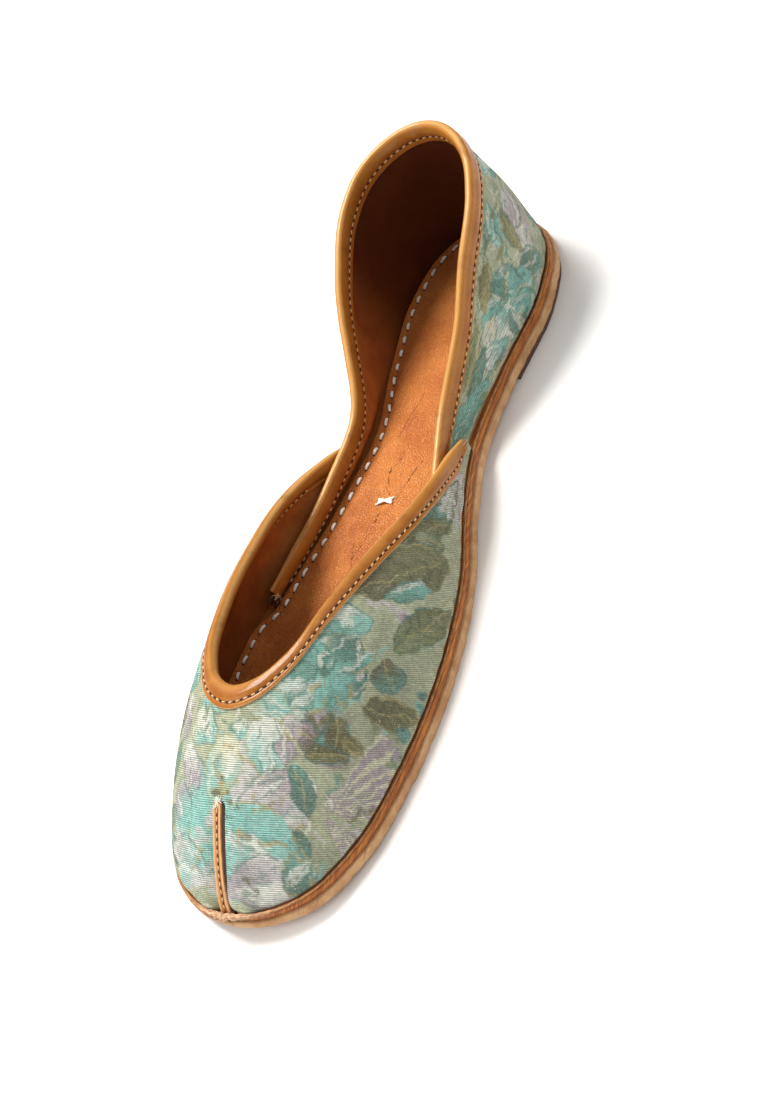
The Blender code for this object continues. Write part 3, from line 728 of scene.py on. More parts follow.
QUARTER_PRINT = (
    # the same, from (around from the heel's back, height) to (around, height)
    ("petal", 3.0, 8.0, 12.0, 26.0, 5.0, 1.0, "lilac", "pale"),
    ("leaf", 12.0, 26.0, 4.0, 42.0, 3.6, 0.8, "olive", "moss"),
    ("leaf", 19.0, 2.0, 25.0, 15.0, 4.4, 0.8, "deep", "teal"),
    ("petal", 16.0, 30.0, 24.0, 40.0, 4.0, 0.5, "teal", "turquoise"),
    ("spot", 31.0, 20.0, 31.1, 20.1, 8.0, 0.0, "lilac", "sage"),
    ("petal", 22.0, 26.0, 40.0, 12.0, 4.6, 1.0, "lilac", "pale"),
    ("petal", 26.0, 31.0, 36.0, 22.0, 3.0, 0.5, "pale", "lilac"),
    ("leaf", 35.0, 31.0, 42.0, 14.0, 3.0, 1.4, "olive", "gold"),
    ("petal", 36.0, 38.0, 46.0, 26.0, 3.4, 0.5, "teal", "turquoise"),
    ("petal", 38.0, 4.0, 47.0, 12.0, 4.6, 0.4, "teal", "deep"),
    ("spot", 60.0, 11.0, 60.1, 11.1, 11.0, 0.0, "teal", "turquoise"),
    ("petal", 60.0, 11.0, 47.0, 8.0, 5.6, 0.5, "teal", "turquoise"),
    ("petal", 60.0, 11.0, 52.0, 21.0, 4.6, 0.4, "turquoise", "teal"),
    ("petal", 60.0, 11.0, 62.0, 23.0, 4.6, 0.3, "teal", "deep"),
    ("petal", 60.0, 11.0, 71.0, 17.0, 4.6, 0.3, "teal", "turquoise"),
    ("petal", 60.0, 11.0, 71.0, 7.0, 4.6, -0.4, "turquoise", "white"),
    ("petal", 60.0, 11.0, 62.0, 0.0, 4.6, 0.3, "teal", "deep"),
    ("petal", 60.0, 11.0, 51.0, 2.0, 4.2, 0.3, "turquoise", "teal"),
    ("line", 56.0, 13.0, 64.0, 9.0, 0.4, 1.0, "white", "white"),
    ("line", 59.0, 7.0, 61.0, 15.0, 0.4, -1.0, "white", "white"),
    ("leaf", 53.0, 28.0, 68.0, 18.0, 2.8, 1.6, "olive", "gold"),
    ("petal", 67.0, 15.0, 78.0, 9.0, 3.0, 0.5, "cream", "white"),
    ("petal", 70.0, 5.0, 82.0, 8.0, 3.0, 0.5, "turquoise", "white"),
    ("leaf", 72.0, 19.0, 93.0, 10.0, 2.8, 1.0, "moss", "olive"),
    ("leaf", 76.0, 12.0, 98.0, 6.0, 2.4, -0.8, "teal", "deep"),
    ("petal", 84.0, 4.0, 105.0, 5.0, 2.4, 0.5, "turquoise", "teal"),
    ("line", 74.0, 14.0, 96.0, 7.0, 0.5, 0.8, "gold", "gold"),
    ("line", 47.0, 31.0, 74.0, 19.0, 0.45, 1.6, "umber", "umber"),
    ("line", 44.0, 35.0, 58.0, 19.0, 0.35, 2.0, "deep", "deep"),
    ("line", 40.0, 34.0, 50.0, 12.0, 0.35, 1.2, "deep", "deep"),
)


def dabs(count, seed, low, high, lean, longest, tones):
    """Loose brush dabs as rows of a print: short lines strewn over a box, all leaning one way."""
    loose = np.random.default_rng(seed)
    for x, y, angle, size, width, bow, tone in zip(
            loose.uniform(low[0], high[0], count), loose.uniform(low[1], high[1], count),
            loose.normal(lean, 0.35, count), loose.uniform(0.3, 1.0, count) * longest,
            loose.uniform(0.2, 0.75, count), loose.normal(0, 0.5, count),
            loose.choice(tones, count)):
        yield ("line", x, y, x + size * np.cos(angle), y + size * np.sin(angle), width, bow,
               str(tone), str(tone))


CORNERS = 64


def mottle(across, along, seed):
    """Value noise from 0 to 1 with one wave a unit: random corners of a grid, eased between."""
    corner = np.random.default_rng(seed).random((CORNERS, CORNERS))
    left, low = np.floor(across).astype(int), np.floor(along).astype(int)
    a, b = ease(across - left), ease(along - low)
    first, second = (corner[left % CORNERS, row % CORNERS] * (1 - a)
                     + corner[(left + 1) % CORNERS, row % CORNERS] * a for row in (low, low + 1))
    return first * (1 - b) + second * b


def washed(colour, share, tone):
    """A colour with a share of another laid over it."""
    share = share[:, None]
    return colour * (1 - share) + tone * share


def printed(across, along, table):
    """Colours of the cloth at places in millimetres.

    Each shape has t along its bowed axis and d across it. A petal or leaf is where |d| is
    under a width that swells and closes again with t; a fan is where the angle at its first
    point is small, in stripes by that angle; a line is where |d| is under its width; a spot
    is round its first point. Value noise frays every edge and streaks every colour.
    """
    blur = mottle(across / 9, along / 9, 1)[..., None]
    tint = np.array(PAINT["sage"]) * (0.86 + 0.28 * blur)
    tint = tint + 0.10 * (mottle(across / 2.2, along / 6, 2)[..., None] - 0.5) * (0.9, 1.0, 0.6)
    wander, drift = (1.5 * (mottle(across / 2.3, along / 2.3, seed) - 0.5)
                     + 0.7 * (mottle(across / 0.8, along / 0.8, seed + 10) - 0.5) for seed in (3, 4))
    for number, (shape, x0, y0, x1, y1, width, bow, first, second) in enumerate(table):
        start, tip = np.array([x0, y0]), np.array([x1, y1])
        if shape == "petal":
            start, tip = 1.06 * start - 0.06 * tip, 1.10 * tip - 0.10 * start
            width = 1.28 * width
        run, middle = tip - start, (start + tip) / 2
        size = np.hypot(*run)
        reach = size / 2 + abs(width) + abs(bow) + 3 if shape != "fan" else 1.6 * size + width
        near = np.hypot(across - middle[0], along - middle[1]) < reach
        if not near.any():
            continue
        u = across[near] + wander[near] - start[0]
        v = along[near] + drift[near] - start[1]
        away = np.hypot(u, v)
        t = (u * run[0] + v * run[1]) / size ** 2
        d = (v * run[0] - u * run[1]) / size - bow * 4 * t * (1 - t)
        colour, other = PAINT[first], PAINT[second]
        if shape in ("petal", "leaf"):
            swell = np.clip(t, 0, 1) ** (1.25 if shape == "petal" else 0.95)
            half = width * np.maximum(np.sin(np.pi * swell), 0) ** 0.62 + 1e-6
            s = d / half
            cover = ease((half - np.abs(d)) / 0.8 + 0.5) * (t > -0.02) * (t < 1.02)
            streak = mottle(s * 4.0 + 5 * number, t * 1.8, 5)
            colour = washed(colour, ease(t * 1.3 - 0.15 + 0.5 * (streak - 0.5)), other)
            if shape == "petal":
                fine = mottle(s * 9 + 5 * number, t * 4, 6)
                colour = washed(colour, ease((streak - 0.52) / 0.16) * 0.72 * ease(t * 3), PAINT["white"])
                colour = washed(colour, ease((0.36 - fine) / 0.2) * 0.55, PAINT["deep"])
            else:
                vein = 0.5 + 0.5 * np.sin(2 * np.pi * (t * 5.5 - np.abs(s) * 1.3))
                shade = ease((vein - 0.6) / 0.3) * 0.32 + (s > 0) * 0.22
                rib = ease((0.34 - np.abs(d)) / 0.2) * ease(t * 5) * 0.75
                colour = washed(colour * (1 - shade)[:, None], rib, PAINT["gold"])
            rim = ease((np.abs(d) - half + 0.95) / 0.35) * ease((mottle(t * 6, s, 7) - 0.22) / 0.2)
            rim = 0.85 * rim * np.where(s * (1 if number % 2 else -1) > 0, 1.0, 0.6)
            colour = washed(colour, rim, PAINT["deep" if number % 3 else "gold"])
        elif shape == "fan":
            angle = np.arctan2(d, np.maximum(t * size, 1e-6)) / np.arctan2(width, size)
            bent = mottle(angle * 2.5 + 3 * number, away / 6, 8)
            stripe = 0.5 + 0.5 * np.sin(angle * 21 + 6 * bent)
            bare = ease((0.10 - stripe) / 0.08) * ease((bent - 0.45) / 0.2)
            colour = washed(colour, ease((stripe - 0.60) / 0.25), other)
            colour = washed(colour, bare, PAINT["sage"])
            ragged = size * (0.86 + 0.3 * mottle(angle * 5, 0 * t, 9))
            cover = ease((ragged - away) / 1.2) * ease((1 - np.abs(angle)) / 0.12) * (t > 0)
            cover = cover * ease(away / (0.22 * size))
        elif shape == "line":
            cover = ease((width - np.abs(d)) / 0.25 + 0.6) * (t > 0) * (t < 1)
            cover = cover * 0.85 * ease((mottle(t * 9 + number, d, 10) - 0.1) / 0.2)
        else:
            cover = ease((width - away) / (0.8 + 0.2 * width) + 0.3 * (width < 5))
            grains = mottle(u / (0.4 + 0.1 * width), v / (0.5 + 0.2 * width), 11)
            colour = washed(colour, ease((away / width - 0.45) / 0.6 + 2.2 * (grains - 0.5)), other)
        tint[near] = washed(tint[near], cover * 0.9, colour)
    thread = mottle(across / 0.9, along / 0.55, 12)[..., None] - 0.5
    return np.clip(tint * (1.06 + 0.46 * thread), 0.01, 0.9)


cloth = Finish("ribbed_printed_cloth", Roughness=0.8, Specular_IOR_Level=0.35)
RIB_PITCH = 0.00060
RIB_LEAN = 0.55            # the ribs run back to the heel as they go down the sides
WARP_PITCH = 0.00031
across, along, _ = cloth.parts(cloth.lay())
waver = cloth.noise(150.0, 2.0, 0.5, cloth.lay())
rib = ((along + waver * 0.00025) * (2 * np.pi / RIB_PITCH)).wave() * 0.5 + 0.5
slub = cloth.streaks(cloth.lay(), (420.0, 2600.0, 1.0), 2.0, 0.6)
warp_thread = (across * (2 * np.pi / WARP_PITCH)).wave() * 0.5 + 0.5
# Painted shade: the hollows between the ribs are darkened in the cloth's colour.
rib_hollow_shade = (1 - rib).step(0.40, 0.95)
fleck = cloth.streaks(cloth.lay(), (2100.0, 3300.0, 1.0), 3.0, 0.65)
glint = cloth.noise(1500.0, 2.0, 0.6)
cloth.colour(cloth.tint(),
             (fleck.step(0.52, 0.68) * 0.30, (0.80, 0.82, 0.74)),
             (fleck.step(0.48, 0.34) * 0.38, (0.05, 0.09, 0.07)),
             (rib_hollow_shade * 0.68, (0.105, 0.125, 0.065)),
             (slub.step(0.60, 0.72) * 0.35, (0.74, 0.72, 0.56)),
             (slub.step(0.42, 0.30) * 0.30, (0.10, 0.13, 0.08)),
             (glint.step(0.70, 0.74) * 0.75, (0.92, 0.82, 0.52)))
cloth.relief(rib * 0.75 + slub * 0.35 + warp_thread * 0.12 + fleck * 0.2, 0.00030)

lining_leather = Finish("brown_lining_leather", Roughness=0.5, Specular_IOR_Level=0.25)
grain = lining_leather.noise(1100.0, 3.0, 0.6)
patch = lining_leather.noise(70.0, 3.0, 0.6)
streak = lining_leather.streaks(lining_leather.place(), (300.0, 60.0, 60.0), 3.0, 0.6)
_, toward_heel, _ = lining_leather.parts(lining_leather.place())
lining_leather.colour((0.30, 0.082, 0.017),
                      (patch.step(0.3, 0.7), (0.46, 0.145, 0.034)),
                      (streak.step(0.55, 0.70) * 0.4, (0.42, 0.15, 0.04)),
                      (grain.step(0.6, 0.8) * 0.35, (0.45, 0.17, 0.05)),
                      # Painted shade: the lining darkens almost to black deep in the heel, and darker
                      # towards the toe inside the vamp.
                      (toward_heel.step(0.040, 0.090) * 0.90, (0.035, 0.005, 0.001)),
                      (toward_heel.step(-0.005, -0.045) * 0.62, (0.090, 0.018, 0.003)))
lining_leather.relief(grain * 0.6 + streak * 0.6, 0.0004)


CLOTH_THICKNESS = 0.0006
SEAM_SHADE = 0.0016        # height over which painted shade darkens the cloth above the sole seam


def cloth_of(name, wall, rows, folds, paint, chart):
    """The cloth face: rows from the foot to the top edge, then a thin back inside it."""
    share = np.linspace(0, 1, rows)[None]
    down = wall.tall[:, None] * (1 - share)
    face, normal = wall.at(down, 0.0)
    height = wall.tall[:, None] - down
    tuck = -0.0009 * bell(height, 0, 0.0012) + 0.0003 * bell(height, 0.005, 0.004)
    face = face + normal * (tuck + folds(face, height))[..., None]
    back_share = np.concatenate([[1.0, 1.0], np.linspace(1, 0, 4)])[None]
    back_out = -CLOTH_THICKNESS * np.array([1 / 3, 2 / 3, 1, 1, 1, 1])[None]
    inner, _ = wall.at(wall.tall[:, None] * (1 - back_share), back_out)
    grid = np.concatenate([face, inner], axis=1)
    # Painted shade: the cloth's colour darkens towards the sole seam at its foot.
    colours = paint(chart(face), height) * (0.35 + 0.65 * ease(height / SEAM_SHADE))[..., None]
    tint = np.concatenate([colours, np.full((*inner.shape[:2], 3), 0.05)], axis=1)
    lay = np.concatenate([chart(face), chart(inner)], axis=1)
    lay[..., 1] -= RIB_LEAN * lay[..., 2]
    lay[..., 2] = 0
    return skin(name, grid, cloth, caps=True, tint=tint, lay=lay)


def chart(point):
    """Flat place on the cloth: across from the ridge as a chord, along from the toe, and drop."""
    x, y, z = point[..., 0], point[..., 1], point[..., 2]
    ridge_y, ridge_z = VAMP.point[RIDGE, :, 1], VAMP.point[RIDGE, :, 2]
    top = np.interp(y, ridge_y, ridge_z) + 0.002
    along = np.interp(y, ridge_y, VAMP.climbed[RIDGE]) + np.maximum(y - ridge_y[-1], 0)
    drop = np.maximum(top - z, 0)
    return np.stack([np.sign(x) * np.hypot(x, drop), along, drop], axis=-1)


def repeated(rows, slope, shift):
    """Rows of a print again on the other side, where y becomes shift + slope y."""
    return tuple((shape, -x0, shift + slope * y0, -x1, shift + slope * y1, width, -slope * bow,
                  first, second) for shape, x0, y0, x1, y1, width, bow, first, second in rows)


def vamp_paint(lay, height):
    """The print between dabs, with the bouquet on the right repeated on the left."""
    bouquet = [row for row in VAMP_PRINT if min(row[1], row[3]) > 17]
    under = dabs(150, 5, (-52, 2), (50, 150), 1.2, 9.0,
                 ("moss", "cream", "sage", "teal", "pale", "turquoise"))
    over = dabs(70, 6, (-30, 2), (34, 90), 1.4, 5.0,
                ("white", "pale", "deep", "gold", "turquoise", "white"))
    rows = tuple(under) + repeated(bouquet, 1, 4) + VAMP_PRINT + tuple(over)
    return printed(1000 * lay[..., 0], 1000 * lay[..., 1], rows)


QUARTER_AROUND = np.abs(QUARTER.station[:, None]) * (1 - QUARTER_SHARE) * FOOT_LENGTH
QUARTER_AROUND = QUARTER_AROUND * np.sign(QUARTER.point[:, :1, 0])


def quarter_paint(lay, height):
    """The print round the heel; past the back the same rows come again, upside down."""
    under = dabs(190, 7, (0, 0), (118, 44), -0.25, 14.0,
                 ("moss", "cream", "sage", "teal", "pale", "sage"))
    over = dabs(90, 8, (0, 0), (118, 40), -0.25, 8.0, ("cream", "pale", "deep", "olive", "moss"))
    near_side = tuple(under) + QUARTER_PRINT + tuple(over)
    rows = near_side + repeated(near_side, -1, 42)
    return printed(1000 * QUARTER_AROUND + 0 * height, 1000 * height, rows)


def vamp_folds(face, height):
    """Puckers along the sole seam, the swell beside the toe strip, pleats at the wings' tips.

    Each is a height times a sine or bells of the place, faded by smooth steps: puckers by the
    height above the foot, and pleats also below the binding, which lies flat.
    """
    run = VAMP.station[:, None] * VAMP_SHARE * FOOT_LENGTH
    pucker = np.sin(2 * np.pi * run / 0.0083 + 3 * np.sin(run / 0.019))
    pucker = 0.00013 * pucker * np.exp(-height / 0.007) * ease(height / 0.001)
    share = np.abs(VAMP.station)[:, None]
    low = ease((0.040 - height) / 0.02) * ease((0.10 - share) / 0.05)
    side = np.abs(face[..., 0])
    swell = (0.0013 * bell(side, 0.0064, 0.0042) - 0.0006 * bell(side, 0.0, 0.0022)) * low
    wing = ease((share - 0.80) / 0.15)
    slope = height - 0.048 * (1 - share)
    pleat = 0.00042 * wing * (0.3 + np.sin(2 * np.pi * slope / 0.0052)) * ease(height / 0.002)
    pleat = pleat * ease((VAMP.tall[:, None] - height - 0.0025) / 0.004)
    return pucker + pleat + swell


def quarter_folds(face, height):
    """Folds that hang from the collar round the heel, and puckers along the sole seam."""
    run = QUARTER_AROUND + 0 * height
    top = QUARTER.tall[:, None] - height
    fold = 0.5 + 0.5 * np.sin(2 * np.pi * (run + 0.35 * height) / 0.0075 + 2 * np.sin(run / 0.011))
    fold = 0.00085 * fold * np.exp(-top / 0.018) * (1 - ease((np.abs(run) - 0.02) / 0.03))
    fold = fold * ease((top - 0.0045) / 0.004)
    pucker = 0.00012 * np.sin(2 * np.pi * run / 0.009) * np.exp(-height / 0.006)
    return fold + pucker * ease(height / 0.001)


def quarter_chart(point):
    """Ribs of the quarter stand up, leaning to the toe on the right, and run round the heel."""
    height = point[..., 2] - QUARTER.point[:, :1, 2]
    return np.stack([height, 0.84 * QUARTER_AROUND + 0.54 * height, 0 * height], axis=-1)


vamp_cloth = cloth_of("vamp_cloth", VAMP, 118, vamp_folds, vamp_paint, chart)
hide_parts("upper")
quarter_cloth = cloth_of("quarter_cloth", QUARTER, 110, quarter_folds, quarter_paint, quarter_chart)


LINING_FRONT = 0.00055     # in from the wall's face: it laps the cloth's back, so no gap shows


def lining_of(name, wall, rows):
    """The lining: leather from the cloth's back to the wall's inner face."""
    share = np.linspace(0, 1, rows)
    shares = np.concatenate([[0.0, 0.35, 0.7, 1.0], share[::-1]])[None]
    outs = np.concatenate([np.full(4, -LINING_FRONT), np.full(rows, -WALL_THICKNESS)])[None]
    grid, _ = wall.at(wall.tall[:, None] * (1 - shares), outs)
    piece = skin(name, grid, lining_leather, caps=True)
    return piece


lining_of("vamp_lining", VAMP, 26)
lining_of("quarter_lining", QUARTER, 26)


# INSOLE. Grained orange-tan leather, sewn down near its edge with waxed white thread, and
# held at the waist by one tack of crossed thread that has pulled creases into the leather.
INSOLE_THICKNESS = 0.0018
TOE_ROOM = 0.0020
THREAD_ROW = 0.0027        # from the insole's edge to its row of stitches
THREAD_PITCH = 0.0055
ROW_END = 0.004            # from the middle, where the row of stitches ends at both tips
THREAD_SUNK = 0.00035
CREASES = (
    # from x, y to x, y, then depth, in millimetres
    (-2.4, 9.0, -7.2, -8.0, 0.42), (-2.0, 14.5, -4.6, 24.0, 0.40), (-4.6, 21.0, -0.8, 31.0, 0.30),
    (1.5, 13.0, 7.5, 27.0, 0.30), (-9.5, -2.0, -4.5, -16.0, 0.18), (-6.0, 34.0, -3.0, 52.0, 0.14),
    (4.0, -6.0, 7.0, -24.0, 0.18),
)
CREASE_PITCH = 2.2         # millimetres between the strips of painted shade along a crease
TACK = (-0.0022, 0.0118)

inside = UPPER_SETBACK + WALL_THICKNESS + GAP + lap(SIDE[:, 0]) * LAP_DEPTH
inside = inside + TOE_ROOM * ease(toe_share(SIDE[:, 0]))
sewn = inset_line(inside + THREAD_ROW)


def insole_top(y):
    """Height of the insole's upper face."""
    return rise(y) + FOOT_LEVEL + INSOLE_THICKNESS


def insole_relief(x, y):
    """Troughs at the creases, a groove along the stitches, a dip at the tack and soft swells.

    Each is a depth times a bell of the distance from its line, and all fade at the edge.
    """
    row = np.interp(y, sewn[:, 0], sewn[:, 1])
    edge = np.interp(y, *inset_line(inside).T)
    groove = -0.00045 * bell(np.abs(x), row, 0.0011) * (row > ROW_END)
    swell = 0.00016 * np.sin(y / 0.0043 + 2 * np.sin(x / 0.006)) * bell(x, 0, 0.02)
    dip = -0.0006 * np.exp(-(((x - TACK[0]) / 0.0035) ** 2 + ((y - TACK[1]) / 0.002) ** 2))
    total = groove + 0.5 * swell + dip
    for x0, y0, x1, y1, depth in CREASES:
        run = np.array([x1 - x0, y1 - y0]) / 1000
        size = np.hypot(*run)
        t = ((x - x0 / 1000) * run[0] + (y - y0 / 1000) * run[1]) / size ** 2
        d = ((y - y0 / 1000) * run[0] - (x - x0 / 1000) * run[1]) / size
        d = d - 0.0003 * np.sin(t * 9)
        fade = np.clip(t / 0.12, 0, 1) * np.clip((1 - t) / 0.3, 0, 1)
        total = total - 0.001 * depth * fade * bell(d, 0, 0.0006)
        total = total + 0.0004 * depth * fade * bell(d, 0, 0.0022)
    return total * np.clip((edge - np.abs(x)) / 0.0008, 0, 1)


insole_finish = Finish("grained_insole_leather", Roughness=0.5, Specular_IOR_Level=0.35)
grain = insole_finish.node("TexVoronoi", {"feature": "DISTANCE_TO_EDGE"},
                           {"Vector": insole_finish.place(), "Scale": 1150.0})
fine = insole_finish.noise(2300.0, 3.0, 0.6)
patch = insole_finish.noise(75.0, 3.0, 0.6)
mark = insole_finish.streaks(insole_finish.place(), (260.0, 70.0, 60.0), 4.0, 0.6)
insole_finish.colour((0.46, 0.125, 0.018),
                     (patch.step(0.32, 0.68), (0.60, 0.200, 0.036)),
                     (mark.step(0.58, 0.70) * 0.30, (0.34, 0.085, 0.028)),
                     (fine.step(0.56, 0.68) * 0.50, (0.88, 0.46, 0.19)),
                     (grain.step(0.09, 0.0) * 0.35, (0.28, 0.07, 0.022)))
insole_finish.feed("Roughness", 0.40 + fine * 0.2)
insole_finish.relief(grain.step(0.0, 0.22) * 0.8 + fine * 0.35, 0.00028)

insole = leather_layer("insole_leather", inside, lambda y: rise(y) + FOOT_LEVEL,
                       edge_profile(INSOLE_THICKNESS, 0.0005), insole_finish, columns=112,
                       stations=560, relief=insole_relief)
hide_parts("insole")


def threads(name, spots, ahead, facing, finish, slot, length, thick, arch, flat=1.0, tilt=0.0):
    """Short threads at places, all one mesh.

    Each is a tube along t from -1 to 1 with radius thick / 2 (1 - t^4)^(1/2), arched by
    1 - t^2, pressed flat and turned by tilt in the surface; lengths and tilts vary a little.
    """
    count, sides = len(spots), 7
    facing = np.broadcast_to(facing, spots.shape)
    vary = np.random.default_rng(count)
    t = np.array([-1.0, -0.85, -0.5, 0.0, 0.5, 0.85, 1.0])
    turn = np.linspace(0, 2 * np.pi, sides + 1)[:-1]
    radius = thick / 2 * np.sqrt(np.maximum(1 - t ** 4, 0.0))[:, None]
    side = radius * np.cos(turn)
    out = radius * np.sin(turn) * flat + (arch * thick * (1 - t ** 2))[:, None]
    run = (length / 2 * t)[:, None] + 0 * side
    angle = (tilt + vary.normal(0, 0.09, count))[:, None]
    size = vary.uniform(0.86, 1.1, count)[:, None, None, None]
    along = np.cos(angle) * ahead + np.sin(angle) * unit(np.cross(facing, ahead))
    across = np.cross(facing, along)
    points = (spots[:, None, None] + size * run[..., None] * along[:, None, None]
              + side[..., None] * across[:, None, None] + out[..., None] * facing[:, None, None])
    first_point = np.arange(count)[:, None, None] * len(t) * sides
    quads = (ring_quads(len(t), sides)[None] + first_point).reshape(-1, 4)
    mesh = bpy.data.meshes.new(name)
    mesh.from_pydata(points.reshape(-1, 3).tolist(), [], quads.tolist())
    tool = bmesh.new()
    tool.from_mesh(mesh)
    bmesh.ops.remove_doubles(tool, verts=tool.verts, dist=1e-7)
    bmesh.ops.recalc_face_normals(tool, faces=tool.faces)
    tool.to_mesh(mesh)
    tool.free()
    made = laid(name, mesh, finish)
    return made


def spaced(path, facing, pitch, start=0.5):
    """Evenly spaced places on a path, with the direction ahead and the facing there."""
    facing = np.broadcast_to(facing, path.shape)
    steps = lengths(path)
    count = int(steps[-1] / pitch)
    places = (np.arange(count) + start) * steps[-1] / count
    spots, ahead, facing = (np.stack([np.interp(places, steps, column) for column in field.T], axis=1)
                            for field in (path, np.gradient(path, axis=0), facing))
    return spots, unit(ahead), unit(facing)


white_thread = Finish("waxed_white_thread", Roughness=0.55)
twist = white_thread.noise(2600.0, 2.0, 0.5)
white_thread.colour((0.82, 0.74, 0.62), (twist.step(0.35, 0.65), (0.97, 0.94, 0.87)))
white_thread.relief(twist, 0.0003)
# Painted shade: dark patches that stand for the shade in stitch holes, creases and the toe slit.
shade_patch = Finish("painted_hole_shade", Roughness=0.9)
depth = shade_patch.noise(1200.0, 2.0, 0.5)
shade_patch.colour((0.018, 0.006, 0.002), (depth, (0.07, 0.022, 0.008)))

UPRIGHT = (0, 0, 1)
WHITE_STITCH = (0.0031, 0.00115, 0.4, 0.9)     # length, thickness, arch, flatness
WHITE_HOLE = (0.0043, 0.0013, 0.1, 0.5)
TACK_STITCH = (0.0068, 0.00085, 0.5)
CREASE_SHADE = (0.0034, 0.00024, 0.0, 0.5)

one_side = sewn[sewn[:, 1] > ROW_END]
loop = np.concatenate([one_side, one_side[::-1] * (1, -1)])
seam = np.stack([loop[:, 1], loop[:, 0], insole_top(loop[:, 0]) - THREAD_SUNK], axis=1)
spots, ahead, facing = spaced(seam, UPRIGHT, THREAD_PITCH)
threads("insole_thread", spots, ahead, facing, white_thread, "insole_leather", *WHITE_STITCH)
# The stitch holes are dark patches of painted shade.
threads("insole_thread_hole_shade", spots - facing * 0.0002, ahead, facing, shade_patch, "insole_leather",
        *WHITE_HOLE)

tack_turn = np.radians((-13.0, -5.0, 3.0, 11.0, 18.0))
tack_ahead = np.stack([np.cos(tack_turn), np.sin(tack_turn), 0 * tack_turn], axis=1)
tack_spots = np.array([(TACK[0], TACK[1] + shift, insole_top(TACK[1]) - 0.0001)
                       for shift in (0.0, 0.0001, -0.0001, 0.0001, 0.0)])
threads("tack_thread", tack_spots, tack_ahead, UPRIGHT, white_thread, "insole_leather", *TACK_STITCH)

# Painted shade: fine dark strips lie along each crease, so that it reads as a crack.
places, ways = [], []
for x0, y0, x1, y1, _ in CREASES:
    t = np.arange(0.06, 0.97, CREASE_PITCH / np.hypot(x1 - x0, y1 - y0))
    places.append(np.stack([x0 + t * (x1 - x0) + 0.35 * np.sin(5 * t + x1), y0 + t * (y1 - y0), 0 * t],
                           axis=1) / 1000)
    ways.append(np.zeros((len(t), 3)) + (x1 - x0, y1 - y0, 0))
places, ways = np.concatenate(places), np.concatenate(ways)
places[:, 2] = insole_top(places[:, 1]) + insole_relief(places[:, 0], places[:, 1]) - 0.00004
threads("insole_crease_shade", places, unit(ways), UPRIGHT, shade_patch, "insole_leather", *CREASE_SHADE)


# BINDINGS. A strip of golden tan leather rolled over each top edge and sewn through with
# golden thread, in small stitches between pricked holes, which are dark patches of painted
# shade. It narrows to its ends, and its crest is worn pale, with a painted highlight along it.
BINDING_WIDTH = 0.0054     # of a leg; the bead stands above it
NARROWED = 0.35            # share of that width which is left at the ends
# The two palest bead tones, along the crest, are worn paler leather with a painted highlight on it.
BINDING_TONES = {
    "cut": (0.50, 0.29, 0.13), "leg": (0.33, 0.106, 0.010), "seam": (0.17, 0.052, 0.008),
    "dome": (0.29, 0.094, 0.010), "bead": (0.38, 0.150, 0.024), "inner": (0.26, 0.090, 0.014),
    "worn_sheen": (0.42, 0.185, 0.040), "worn_crest_highlight": (0.52, 0.280, 0.090),
}

golden = Finish("golden_binding_leather", Roughness=0.42, Specular_IOR_Level=0.14, Coat_Weight=0.28,
                Coat_Roughness=0.13)
grain = golden.noise(1700.0, 3.0, 0.6)
patch = golden.noise(150.0, 3.0, 0.6)
crease = golden.streaks(golden.lay(), (1400.0, 120.0, 1.0), 3.0, 0.6)
golden.colour(golden.tint(),
              (patch.step(0.40, 0.75) * 0.40, (0.46, 0.200, 0.040)),
              (patch.step(0.45, 0.25) * 0.45, (0.19, 0.062, 0.012)),
              (crease.step(0.58, 0.72) * 0.30, (0.17, 0.055, 0.010)))
golden.feed("Roughness", 0.34 + grain * 0.22)
golden.relief(grain * 0.5 + crease * 0.8, 0.00022)


def leg_rows(leg, seam, end):
    """A flat leg's rows from its cut edge to the bead: down the wall, and out from it."""
    share = np.concatenate([seam + (1 - seam) * np.array([1.0, 1.0, 0.95, 0.80, 0.50, 0.22]), [seam],
                            seam * np.array([0.92, 0.82, 0.68, 0.50, 0.34])])
    out = np.array([0.0, 0.45, 0.62, 0.72, 0.72, 0.62, 0.46, 0.60, 0.80, 0.95, 1.02, 0.98]) / 1000
    return leg * share, out * (0.45 + 0.55 * end)


def leg_of(wall, foot):
    """Width of a leg that ends at a height above the foot, for each rib of a wall."""
    return np.clip(wall.room(foot), GAP, BINDING_WIDTH)[:, None]


def full(wall):
    """1 along a binding, eased to 0 over its last tenth at both ends."""
    return ease((1 - np.abs(wall.station)[:, None]) / 0.10)


